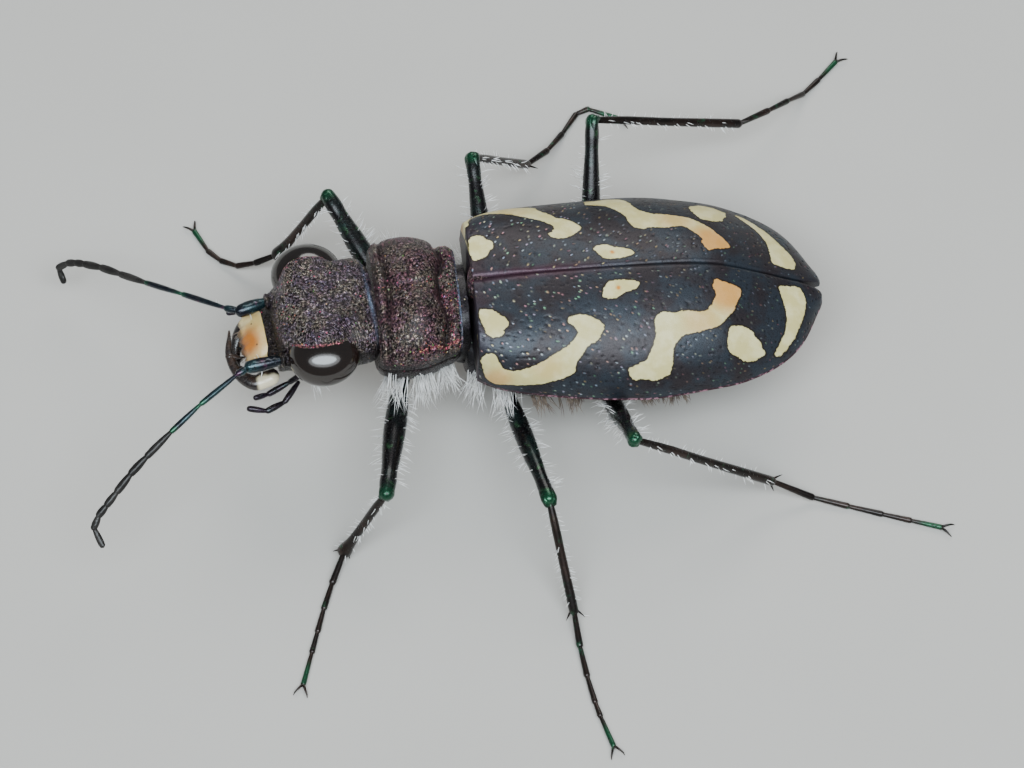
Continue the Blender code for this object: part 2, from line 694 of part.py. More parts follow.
clear_scene()
make_elytra()
make_thorax()
make_prothorax()
make_abdomen()
make_head()
make_mouth()
make_feelers()
for leg_name, leg_sizes in LEGS.items():
    make_leg(leg_name, leg_sizes)
centre_on_floor()
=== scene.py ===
import math

import bmesh
import bpy
import numpy as np
from mathutils import Euler, Matrix, Vector, noise
from mathutils.bvhtree import BVHTree


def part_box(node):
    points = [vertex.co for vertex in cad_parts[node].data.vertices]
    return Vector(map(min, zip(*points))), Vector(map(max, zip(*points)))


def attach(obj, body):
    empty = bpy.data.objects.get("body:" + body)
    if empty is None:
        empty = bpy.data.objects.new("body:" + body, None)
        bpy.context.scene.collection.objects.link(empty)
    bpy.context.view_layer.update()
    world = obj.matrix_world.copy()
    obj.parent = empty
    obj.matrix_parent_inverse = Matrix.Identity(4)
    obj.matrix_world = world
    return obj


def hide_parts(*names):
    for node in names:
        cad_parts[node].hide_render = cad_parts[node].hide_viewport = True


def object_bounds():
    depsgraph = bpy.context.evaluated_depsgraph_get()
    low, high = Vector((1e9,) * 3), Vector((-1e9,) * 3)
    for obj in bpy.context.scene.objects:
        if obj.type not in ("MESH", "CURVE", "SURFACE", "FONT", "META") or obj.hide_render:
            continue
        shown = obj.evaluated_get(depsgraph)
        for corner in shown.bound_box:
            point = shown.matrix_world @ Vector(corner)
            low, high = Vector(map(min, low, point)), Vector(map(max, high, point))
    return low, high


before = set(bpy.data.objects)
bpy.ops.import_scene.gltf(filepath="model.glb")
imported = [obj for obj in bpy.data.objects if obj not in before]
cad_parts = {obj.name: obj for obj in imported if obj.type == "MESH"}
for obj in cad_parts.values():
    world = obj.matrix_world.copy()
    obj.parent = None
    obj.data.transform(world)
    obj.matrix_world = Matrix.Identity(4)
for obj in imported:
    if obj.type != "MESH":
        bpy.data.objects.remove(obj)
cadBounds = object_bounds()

# Everything is shaped in millimetres, in the body's, the head's or the floor's own directions
mm = 0.001
stance = {"lift": 3.5, "side": 0.08, "pitch": 4.8,
          "neck": (-3.1, -0.08, 0.9), "headPitch": 4.65, "headYaw": 5.5}
bodyTurn = Matrix.Rotation(math.radians(stance["pitch"]), 4, "Y")
bodyPlace = Matrix.Translation((0, stance["side"], stance["lift"])) @ bodyTurn
headTurn = Euler((0, -math.radians(stance["headPitch"]), math.radians(stance["headYaw"])))
headPlace = bodyPlace @ Matrix.Translation(stance["neck"]) @ headTurn.to_matrix().to_4x4()
floorPlace = Matrix.Identity(4)
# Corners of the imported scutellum, which tell where the working frames lie in the room
shieldPlan = ((-0.14, 0.6), (0.05, 0.6), (0.68, 0.08))
shieldCorners = [bodyPlace @ Vector((x, y * side, z))
                 for x, y in shieldPlan for side in (-1, 1) for z in (1.3, 1.8)]
shieldLow = Vector([min(corner[i] for corner in shieldCorners) for i in range(3)])
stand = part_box("scutellum")[0] / mm - shieldLow
toMetres = Matrix.Scale(mm, 4) @ Matrix.Translation(stand)
signs = {"left": -1, "right": 1}
upwards = Vector((0, 0, 1))
dice = np.random.RandomState(7)


# Shapes

ovalPower = 2.4  # 2 makes a section elliptic, and more makes it squarer


def between(rows, at):  # values on a smooth curve through rows of (position, value, ...)
    spots = [row[0] for row in rows]
    at = min(max(at, spots[0]), spots[-1])
    i = max(k for k in range(len(rows) - 1) if spots[k] <= at)
    before, start, end, after = rows[max(i - 1, 0)], rows[i], rows[i + 1], rows[min(i + 2, len(rows) - 1)]
    span = end[0] - start[0]
    t = (at - start[0]) / span
    found = []
    for k in range(1, len(start)):
        slopeA = (end[k] - before[k]) / (end[0] - before[0]) * span
        slopeB = (after[k] - start[k]) / (after[0] - start[0]) * span
        found.append((2 * t**3 - 3 * t**2 + 1) * start[k] + (t**3 - 2 * t**2 + t) * slopeA
                     + (3 * t**2 - 2 * t**3) * end[k] + (t**3 - t**2) * slopeB)
    return found


def nearestOn(line, p):  # the nearest point to p on a line of straight lengths
    found = []
    for start, end in zip(line, line[1:]):
        edge = end - start
        share = min(max((p - start).dot(edge) / edge.length_squared, 0), 1)
        found.append(start + edge * share)
    return min(found, key=lambda spot: (p - spot).length_squared)


def alongLine(points, share):  # a point on a smooth curve through the points
    rows = [(i, *point) for i, point in enumerate(points)]
    return Vector(between(rows, share * (len(points) - 1)))


def bump(value, middle, width):  # a smooth hump of height 1
    return math.exp(-((value - middle) / width) ** 2)


def ease(value, low, high):  # 0 below low, 1 above high, smooth between
    t = min(max((value - low) / (high - low), 0.0), 1.0)
    return t * t * (3 - 2 * t)


def shell(bm, rows, sides, shape):  # a sphere whose rings are moved to the wanted form
    for vert in bmesh.ops.create_uvsphere(bm, u_segments=sides, v_segments=rows, radius=1)["verts"]:
        down = math.acos(max(-1.0, min(1.0, vert.co.z))) / math.pi
        turn = math.atan2(vert.co.y, vert.co.x) % math.tau
        vert.co = shape(round(down * rows), round(turn / math.tau * sides) % sides)


def turnOutwards(bm):
    if bm.calc_volume(signed=True) < 0:
        bmesh.ops.reverse_faces(bm, faces=bm.faces)


def addShell(bm, rows, sides, shape):  # one more closed form in the same mesh
    part = bmesh.new()
    shell(part, rows, sides, shape)
    turnOutwards(part)
    held = bpy.data.meshes.new("held")
    part.to_mesh(held)
    part.free()
    bm.from_mesh(held)
    bpy.data.meshes.remove(held)


def sectionPoint(x, halfWidth, top, middle, bottom, angle, power):
    across, rise = math.cos(angle), math.sin(angle)
    power = power if rise > 0 else ovalPower
    y = halfWidth * math.copysign(abs(across) ** (2 / power), across)
    reach = top - middle if rise > 0 else middle - bottom
    return Vector((x, y, middle + reach * math.copysign(abs(rise) ** (2 / power), rise)))


def addTrunk(bm, sections, rows, sides, power=ovalPower, relief=None, cup=0.0):  # a body piece along X
    low, high = sections[0][0], sections[-1][0]
    cache = {}

    def shape(row, side):
        if row not in cache:
            share = min(max((row - 1) / (rows - 2), 0.0), 1.0)
            cache[row] = (low + (high - low) * share, between(sections, low + (high - low) * share))
        x, (halfWidth, top, middle, bottom) = cache[row]
        if row in (0, rows):  # the two ends, sunk in by the cup
            inward = cup if row == 0 else -cup
            return Vector((x + inward, 0, (top + bottom) / 2))
        bend = power(x) if callable(power) else power
        point = sectionPoint(x, halfWidth, top, middle, bottom, math.tau * side / sides, bend)
        return relief(point) if relief else point

    addShell(bm, rows, sides, shape)


def addBall(bm, centre, radii, rows=16, sides=24):
    place = Matrix.LocRotScale(Vector(centre), None, Vector(radii))
    bmesh.ops.create_uvsphere(bm, u_segments=sides, v_segments=rows, radius=1, matrix=place)


endDome = ((0.94, 0.35), (0.72, 0.7), (0.4, 0.92))  # how a limb's end is rounded: reach and radius


def addLimb(bm, line, radii, sides, steps, flat=1.0):  # a round tapering limb
    count = (len(line) - 1) * steps
    spots = [alongLine(line, k / count) for k in range(count + 1)]
    thick = [between([(i, r) for i, r in enumerate(radii)], k / steps)[0] for k in range(count + 1)]
    stations = []
    for k, spot in enumerate(spots):
        along = (spots[min(k + 1, count)] - spots[max(k - 1, 0)]).normalized()
        stations.append((spot, along, thick[k]))
    poles = []
    for way, (spot, along, radius) in ((-1, stations[0]), (1, stations[-1])):
        domes = [(spot + along * radius * reach * way, along, radius * share) for reach, share in endDome]
        stations = domes + stations if way < 0 else stations + domes[::-1]
        poles.append(spot + along * radius * way)
    rows = len(stations) + 1

    def shape(row, side):
        if row in (0, rows):
            return poles[0] if row == 0 else poles[1]
        spot, along, radius = stations[row - 1]
        across = along.cross(upwards).normalized()
        above = across.cross(along)
        angle = math.tau * side / sides
        return spot + across * (math.cos(angle) * radius) + above * (math.sin(angle) * radius * flat)

    addShell(bm, rows, sides, shape)


def addJointed(bm, joints, widths, sides, shares, swell):  # beads from joint to joint
    for start, end, width in zip(joints, joints[1:], widths):
        line = [start.lerp(end, share) for share in shares]
        addLimb(bm, line, [width / 2 * share for share in swell], sides, 3)


def makePiece(name, bm, finish, nodes, place=bodyPlace, marks=None):
    for key, rate in (marks or {}).items():  # values the finish reads, from each point's place
        layer = bm.verts.layers.float.new(key)
        for vert in bm.verts:
            vert[layer] = rate(vert.co) if callable(rate) else rate
    bmesh.ops.transform(bm, matrix=toMetres @ place, verts=bm.verts)
    mesh = bpy.data.meshes.new(name)
    bm.to_mesh(mesh)
    bm.free()
    showPiece(name, mesh, finish, nodes)


def showPiece(name, mesh, finish, nodes):
    mesh.shade_smooth()
    mesh.materials.append(finish)
    piece = bpy.data.objects.new(name, mesh)
    bpy.context.scene.collection.objects.link(piece)
    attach(piece, "root")
    if nodes:
        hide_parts(*nodes)


# Finishes

def setSockets(node, sockets):  # a link where the value comes out of another node, else a plain value
    for key, value in sockets.items():
        if isinstance(value, bpy.types.NodeSocket):
            node.id_data.links.new(value, node.inputs[key])
        else:
            node.inputs[key].default_value = value


def addNode(kind, sockets, tree=None, **settings):
    if tree is None:  # the same tree as the node that feeds this one
        tree = next(value.id_data for value in sockets.values() if isinstance(value, bpy.types.NodeSocket))
    node = tree.nodes.new("ShaderNode" + kind)
    for key, value in settings.items():
        setattr(node, key, value)
    setSockets(node, sockets)
    return node


def newFinish(name, place=None):  # with its shader, and the coordinates in millimetres of the given frame
    finish = bpy.data.materials.new(name)
    finish.use_nodes = True
    tree = finish.node_tree
    vector = addNode("TexCoord", {}, tree).outputs["Object"]
    if place is not None:
        back = place.to_3x3().inverted()
        moved = back @ (-stand - place.translation)
        sockets = {"Vector": vector, "Location": moved, "Rotation": back.to_euler(), "Scale": (1 / mm,) * 3}
        vector = addNode("Mapping", sockets).outputs[0]
    return finish, tree.nodes["Principled BSDF"], vector


def stretched(vector, scale):
    return addNode("Mapping", {"Vector": vector, "Scale": scale}).outputs[0]


def axis(vector, k):
    return addNode("SeparateXYZ", {0: vector}).outputs[k]


def mark(vector, name):  # a value stored at the piece's points
    return addNode("Attribute", {}, vector.id_data, attribute_name=name).outputs["Fac"]


def calc(operation, first, second=0.0):
    return addNode("Math", {0: first, 1: second}, operation=operation).outputs[0]


def times(first, second):
    return calc("MULTIPLY", first, second)


def plus(first, second):
    return calc("ADD", first, second)


def step(value, low, high, toLow=0.0, toHigh=1.0):
    sockets = {"Value": value, "From Min": low, "From Max": high, "To Min": toLow, "To Max": toHigh}
    return addNode("MapRange", sockets, interpolation_type="SMOOTHSTEP").outputs[0]


def blend(share, *colours):
    first, second = ((*colour, 1) if isinstance(colour, tuple) else colour for colour in colours)
    return addNode("Mix", {0: share, 6: first, 7: second}, data_type="RGBA").outputs[2]


def grain(vector, scale, detail=3.0, rough=0.55, warp=0.0):
    sockets = {"Vector": vector, "Scale": scale, "Detail": detail, "Roughness": rough, "Distortion": warp}
    return addNode("TexNoise", sockets).outputs["Fac"]


def cells(vector, scale):
    return addNode("TexVoronoi", {"Vector": vector, "Scale": scale}).outputs


def ramp(value, stops):
    node = addNode("ValToRGB", {0: value})
    band = node.color_ramp
    while len(band.elements) < len(stops):
        band.elements.new(0.5)
    for element, (at, colour) in zip(band.elements, stops):
        element.position = at
        element.color = (*colour, 1)
    return node.outputs[0]


def raised(height, depth, under=None):  # depth in millimetres
    sockets = {"Height": height, "Strength": 1.0, "Distance": depth * mm}
    if under:
        sockets["Normal"] = under
    return addNode("Bump", sockets).outputs[0]


glintColours = ((0.0, (0.3, 0.85, 0.45)), (0.2, (0.8, 0.9, 0.75)), (0.4, (0.95, 0.72, 0.3)),
                (0.6, (0.85, 0.35, 0.45)), (0.8, (0.55, 0.72, 0.95)), (1.0, (0.85, 0.95, 0.95)))
# colours of the painted glints (sparks) on head and pronotum
sparkColours = ((0.0, (0.95, 0.06, 0.16)), (0.3, (0.95, 0.12, 0.35)), (0.5, (0.95, 0.45, 0.1)),
                (0.68, (0.75, 0.7, 0.55)), (0.84, (0.25, 0.8, 0.12)), (1.0, (0.65, 0.25, 0.75)))
crestColours = ((0.0, (0.34, 0.1, 0.16)), (0.25, (0.2, 0.16, 0.12)), (0.5, (0.32, 0.25, 0.15)),
                (0.75, (0.13, 0.19, 0.16)), (1.0, (0.19, 0.13, 0.3)))
eyeColours = ((0.0, (0.045, 0.022, 0.013)), (0.4, (0.018, 0.009, 0.006)), (1.0, (0.006, 0.004, 0.003)))


def makeBellyFinish():
    finish, shader, vector = newFinish("belly_shell", bodyPlace)
    colour = blend(step(grain(vector, 1.6, 4.0), 0.35, 0.68), (0.009, 0.008, 0.009), (0.03, 0.022, 0.03))
    folds = grain(stretched(vector, (7.0, 9.0, 9.0)), 1.0, 3.0, 0.5, 1.2)
    ridges = step(calc("ABSOLUTE", plus(folds, -0.5)), 0.0, 0.16)
    # painted shade: the valleys between the folds are painted near black
    colour = blend(step(ridges, 0.35, 0.0), colour, (0.003, 0.002, 0.003))
    spots = cells(vector, 9.0)
    parts = addNode("SeparateColor", {0: spots["Color"]}).outputs
    glint = times(step(spots["Distance"], 0.26, 0.104), step(parts[0], 0.12, 0.1104))
    fine = grain(vector, 34.0, 2.0)
    setSockets(shader, {
        "Base Color": blend(times(glint, 0.75), colour, ramp(parts[1], glintColours)), "Metallic": 0.55,
        "Coat Weight": 0.25, "Coat Roughness": 0.2, "Roughness": plus(times(fine, 0.25), 0.24),
        "Normal": raised(fine, 0.004, raised(ridges, 0.012))})
    return finish


def makeCrestFinish(name, place, crest, tint):  # fine crests with painted shade in the valleys and painted glints (sparks), for head and pronotum
    finish, shader, vector = newFinish(name, place)
    line = plus(mark(vector, "flow"), times(grain(vector, 2.4), 0.3))
    waves = times(calc("SINE", times(line, 96.0)), times(mark(vector, "striped"), 0.3))
    crumbs = grain(vector, 15.0, 2.0, 0.6, 0.6)
    height = plus(waves, times(plus(crumbs, -0.5), 4.2))
    up = step(height, -0.5, 0.9)
    bits = cells(vector, 17.0)
    parts = addNode("SeparateColor", {0: bits["Color"]}).outputs
    warm = blend(step(grain(vector, 1.9, 5.0, 0.6), 0.42, 0.58), crest, tint)
    warm = blend(0.3, warm, ramp(parts[1], crestColours))
    # painted shade where the mark low is high: in the grooves and underneath
    warm = blend(step(mark(vector, "low"), 0.0, 1.0, 0.0, 0.85), warm, (0.012, 0.01, 0.011))
    # painted shade: the valleys between the crests are painted near black
    colour = blend(up, (0.006, 0.004, 0.005), warm)
    # painted glints: copper-pink on the crests near the edges
    edge = mark(vector, "edge")
    colour = blend(times(step(edge, 0.62, 0.95, 0.0, 0.75), up), colour, (0.72, 0.17, 0.19))
    # painted glints (sparks) on the crests, more of them near the edges
    some = calc("LESS_THAN", parts[0], plus(times(edge, 0.8), 0.02))
    sparks = times(times(some, step(bits["Distance"], 0.5, 0.2)), step(height, -0.35, 0.25))
    colour = blend(times(sparks, 0.9), colour, ramp(parts[2], sparkColours))
    # pale-blue seam: partly the membrane's own pale colour, partly painted sheen
    colour = blend(times(mark(vector, "seam"), 0.75), colour, (0.3, 0.4, 0.58))
    setSockets(shader, {
        "Base Color": colour, "Metallic": 0.72, "Specular IOR Level": 0.35, "Coat Weight": 0.08,
        "Coat Roughness": 0.3, "Roughness": step(crumbs, 0.3, 0.7, 0.38, 0.22), "Normal": raised(up, 0.028)})
    return finish


def makeWingFinish():
    finish, shader, vector = newFinish("wing_case", bodyPlace)
    patches = grain(vector, 1.1, 4.0)
    fine = grain(vector, 30.0, 2.0)
    ground = blend(step(patches, 0.38, 0.62), (0.024, 0.019, 0.022), (0.024, 0.031, 0.041))
    x, y = axis(vector, 0), axis(vector, 1)
    atSeam = times(step(calc("ABSOLUTE", y), 0.3, 0.04, 0.0, 0.55), step(x, 5.0, 1.5))
    atBase = step(plus(x, times(patches, 0.8)), 1.1, 0.4, 0.0, 0.15)
    ground = blend(calc("MAXIMUM", atSeam, atBase), ground, (0.075, 0.02, 0.04))
    ground = blend(step(fine, 0.45, 0.75, 0.0, 0.75), ground, (0.006, 0.005, 0.008))
    # painted shade: the pits are painted darker
    ground = blend(times(mark(vector, "pit"), 0.7), ground, (0.004, 0.003, 0.005))
    glint = times(mark(vector, "glint"), 0.95)
    ground = blend(glint, ground, ramp(mark(vector, "hue"), glintColours))
    rim = blend(step(grain(vector, 9.0, 2.0), 0.52, 0.62), (0.05, 0.014, 0.02), (0.45, 0.22, 0.28))
    ground = blend(mark(vector, "rim"), ground, rim)
    inside = plus(mark(vector, "marking"), times(plus(grain(vector, 9.0), -0.5), 0.11))
    ground = blend(times(step(inside, -0.08, -0.02), 0.8), ground, (0.016, 0.01, 0.005))
    cream = blend(step(grain(vector, 2.3, 5.0), 0.4, 0.65), (0.55, 0.48, 0.2), (0.64, 0.58, 0.3))
    cream = blend(mark(vector, "stain"), cream, (0.54, 0.2, 0.02))
    cream = blend(step(cells(vector, 5.0)["Distance"], 0.07, 0.03, 0.0, 0.5), cream, (0.2, 0.15, 0.08))
    painted = step(inside, -0.016, 0.012)
    setSockets(shader, {
        "Base Color": blend(painted, ground, cream), "Specular IOR Level": 0.32, "Coat Weight": 0.1,
        "Coat Roughness": 0.3, "Metallic": step(calc("MAXIMUM", painted, glint), 0.0, 1.0, 0.4, 0.0),
        "Roughness": plus(times(fine, 0.22), 0.32), "Normal": raised(plus(fine, times(painted, 0.6)), 0.006)})
    return finish


def makeEyeFinish():
    finish, shader, vector = newFinish("eye", headPlace)
    facets = cells(vector, 26.0)["Distance"]
    height = step(plus(axis(vector, 2), times(grain(vector, 2.4), 0.3)), -0.75, 0.9)
    colour = blend(step(facets, 0.3, 0.6, 0.0, 0.45), ramp(height, eyeColours), (0.004, 0.003, 0.003))
    setSockets(shader, {
        "Base Color": colour, "Specular IOR Level": 0.05, "Coat Weight": 0.7, "Coat Roughness": 0.12,
        "Coat IOR": 1.9, "Roughness": step(grain(vector, 12.0), 0.3, 0.7, 0.16, 0.26),
        "Normal": raised(facets, -0.0022)})
    return finish


def makeIvoryFinish():
    finish, shader, vector = newFinish("ivory", headPlace)
    fine = grain(vector, 18.0)
    colour = blend(step(grain(vector, 3.0, 4.0), 0.35, 0.7), (0.52, 0.36, 0.13), (0.63, 0.5, 0.25))
    away = addNode("VectorMath", {0: vector, 1: mouth["stain"]}, operation="DISTANCE").outputs["Value"]
    colour = blend(step(away, 0.66, 0.18, 0.0, 0.95), colour, (0.4, 0.12, 0.01))
    edge = step(plus(axis(vector, 0), times(grain(vector, 8.0), 0.08)), -3.38, -3.5)
    colour = blend(times(edge, 0.85), colour, (0.05, 0.02, 0.01))
    colour = blend(step(cells(vector, 3.4)["Distance"], 0.12, 0.07, 0.0, 0.9), colour, (0.03, 0.02, 0.015))
    setSockets(shader, {
        "Base Color": colour, "Coat Weight": 0.3, "Coat Roughness": 0.25, "Subsurface Weight": 0.1,
        "Subsurface Scale": 0.4 * mm, "Roughness": step(fine, 0.3, 0.7, 0.34, 0.5),
        "Normal": raised(fine, 0.008)})
    return finish


def makeJawFinish():
    finish, shader, vector = newFinish("jaw", headPlace)
    fine = grain(stretched(vector, (6.0, 20.0, 20.0)), 1.0)
    colour = blend(step(grain(vector, 4.0, 4.0), 0.4, 0.7), (0.012, 0.009, 0.009), (0.035, 0.02, 0.014))
    outer = step(plus(calc("ABSOLUTE", axis(vector, 1)), times(grain(vector, 3.0), 0.25)), 1.0, 1.12)
    outer = times(outer, step(axis(vector, 0), -3.35, -3.22))
    setSockets(shader, {
        "Base Color": blend(outer, colour, (0.66, 0.58, 0.4)), "Coat Weight": 0.5, "Coat Roughness": 0.15,
        "Roughness": step(fine, 0.3, 0.7, 0.2, 0.4), "Normal": raised(fine, 0.01)})
    return finish


limbLooks = {  # ground, sheen, glow, the patches that the sheen covers, roughness
    "green_thigh": ((0.008, 0.007, 0.008), (0.016, 0.034, 0.03), (0.04, 0.11, 0.05), (0.45, 0.72), 0.16),
    "brown_shin": ((0.01, 0.007, 0.006), (0.03, 0.016, 0.012), (0.02, 0.1, 0.05), (0.4, 0.7), 0.2),
    "palp": ((0.012, 0.008, 0.012), (0.035, 0.018, 0.038), (0.02, 0.05, 0.05), (0.42, 0.68), 0.16),
    "feeler_base": ((0.01, 0.014, 0.022), (0.02, 0.06, 0.066), (0.12, 0.04, 0.09), (0.42, 0.68), 0.1),
    "feeler_whip": ((0.016, 0.014, 0.013), (0.04, 0.037, 0.034), (0.05, 0.05, 0.045), (0.4, 0.7), 0.5),
}


def makeLimbFinish(name):
    ground, sheen, glow, share, polish = limbLooks[name]
    finish, shader, vector = newFinish(name, floorPlace)
    fine = grain(vector, 26.0, 2.0)
    dots = step(cells(vector, 8.0)["Distance"], 0.3, 0.16)
    colour = blend(step(grain(vector, 1.3, 5.0, 0.6), *share), ground, sheen)
    colour = blend(step(grain(vector, 3.1, 4.0, 0.6), 0.58, 0.72, 0.0, 0.8), colour, glow)
    colour = blend(times(mark(vector, "tip"), 0.8), colour, (0.006, 0.085, 0.036))
    setSockets(shader, {
        "Base Color": blend(times(dots, 0.8), colour, (0.004, 0.003, 0.003)), "Metallic": 0.7,
        "Coat Weight": 0.3, "Coat Roughness": 0.18, "Roughness": plus(times(fine, 0.24), polish),
        "Normal": raised(fine, 0.006, raised(dots, -0.012))})
    return finish


def makeHairFinish(name, dark, light):
    finish, shader, vector = newFinish(name, floorPlace)
    setSockets(shader, {
        "Base Color": blend(step(grain(vector, 5.0), 0.35, 0.65), dark, light), "Sheen Weight": 0.3,
        "Roughness": step(grain(vector, 20.0), 0.3, 0.7, 0.32, 0.5),
        "Normal": raised(grain(vector, 60.0), 0.001)})
    return finish


# Camera, floor and light

view = {"turn": 6.4, "back": (-0.0561, -0.4999, 0.8643), "aside": 1.265, "down": -1.996, "distance": 163.0,
        "lens": 200.0, "sensor": 36.0}


def setView():
    turn = math.radians(view["turn"])
    right = Vector((math.cos(turn), -math.sin(turn), 0))
    back = Vector(view["back"]).normalized()
    up = back.cross(right).normalized()
    target = Vector((0, 0, stance["lift"])) + right * view["aside"] + up * view["down"]
    camera = bpy.data.objects.new("camera", bpy.data.cameras.new("camera"))
    camera.data.lens = view["lens"]
    camera.data.sensor_width = view["sensor"]
    camera.data.clip_start, camera.data.clip_end = 0.01, 5.0
    camera.matrix_world = Matrix((
        (right.x, up.x, back.x, 0), (right.y, up.y, back.y, 0), (right.z, up.z, back.z, 0), (0, 0, 0, 1)))
    camera.location = (target + back * view["distance"] + stand) * mm
    bpy.context.scene.collection.objects.link(camera)
    bpy.context.scene.camera = camera


lamps = {  # place and aim in metres, width and height in metres, power in watts
    "key": {"at": (-0.004, -0.12, 0.219), "size": (0.44, 0.2), "power": 0.55, "colour": (0.95, 0.98, 1.0)},
    "flash": {"at": (-0.006, -0.112, 0.223), "size": (0.3, 0.12), "power": 0.88, "colour": (0.8, 0.92, 1.0)},
    "back": {"at": (0.05, 0.2, 0.2), "size": (0.2, 0.14), "power": 0.35, "colour": (1.0, 0.98, 0.95)},
}


def setLight():
    for name, lamp in lamps.items():
        light = bpy.data.lights.new(name, "AREA")
        light.shape = "ELLIPSE"
        light.size, light.size_y = lamp["size"]
        light.energy = lamp["power"]
        light.color = lamp["colour"]
        obj = bpy.data.objects.new(name, light)
        obj.location = lamp["at"]
        obj.rotation_euler = Vector(lamp["at"]).to_track_quat("Z", "Y").to_euler()
        bpy.context.scene.collection.objects.link(obj)
    world = bpy.data.worlds.new("room")
    world.use_nodes = True
    setSockets(world.node_tree.nodes["Background"], {"Color": (0.9, 0.95, 1.0, 1), "Strength": 0.2})
    bpy.context.scene.world = world


def makeFloor():
    bm = bmesh.new()
    bmesh.ops.create_grid(bm, x_segments=2, y_segments=2, size=0.8)
    mesh = bpy.data.meshes.new("floor")
    bm.to_mesh(mesh)
    bm.free()
    floor = bpy.data.objects.new("floor", mesh)
    bpy.context.scene.collection.objects.link(floor)
    finish, shader, vector = newFinish("floor")
    colour = blend(grain(vector, 90.0), (0.42, 0.4, 0.37), (0.47, 0.45, 0.42))
    setSockets(shader, {"Base Color": colour, "Roughness": 0.9})
    mesh.materials.append(finish)


setView()
setLight()
makeFloor()
print("view, light and floor are set")

# Wing cases

wings = {
    "length": 10.25, "halfWidth": 3.3, "height": 2.0, "lift": 0.15, "seam": 0.018, "gape": 0.03,
    "rows": 330, "top": 128, "under": 8, "wall": 8, "recessFrom": 0.93, "recess": 0.11,
    "rimWidth": 0.07, "rimHeight": 0.03, "seamDrop": 0.035, "seamRound": 0.05,
    "pitsPerMm": 7.0, "pitDepth": 0.022, "pitWidth": 0.4,
    "glintAside": (0.1, 0.16, 0.08), "glintWidth": 0.24, "glintShare": 0.72,
    # share of the length, of the half width and of the height, and the power that rounds the section
    "outline": (
        (0.0, 0.72, 0.85, 3.6), (0.021, 0.763, 0.86, 3.5), (0.061, 0.821, 0.885, 3.2),
        (0.115, 0.867, 0.915, 2.85), (0.183, 0.91, 0.94, 2.45), (0.252, 0.944, 0.96, 2.2),
        (0.335, 0.975, 0.98, 2.0), (0.42, 0.993, 0.995, 1.95), (0.475, 1.0, 1.0, 1.9),
        (0.546, 0.983, 1.0, 1.9), (0.618, 0.952, 0.98, 1.85), (0.684, 0.922, 0.92, 1.8),
        (0.738, 0.89, 0.82, 1.7), (0.804, 0.815, 0.66, 1.65), (0.847, 0.747, 0.55, 1.6),
        (0.884, 0.666, 0.45, 1.6), (0.911, 0.588, 0.385, 1.6), (0.935, 0.496, 0.32, 1.6),
        (0.957, 0.385, 0.26, 1.6), (0.978, 0.26, 0.2, 1.6), (0.993, 0.18, 0.14, 1.6),
        (1.0, 0.13, 0.09, 1.6)),
    # how the right case's markings lie against the left one's
    "skew": ((0.971, -0.244, 0.251), (0.054, 0.958, -0.436)),
}
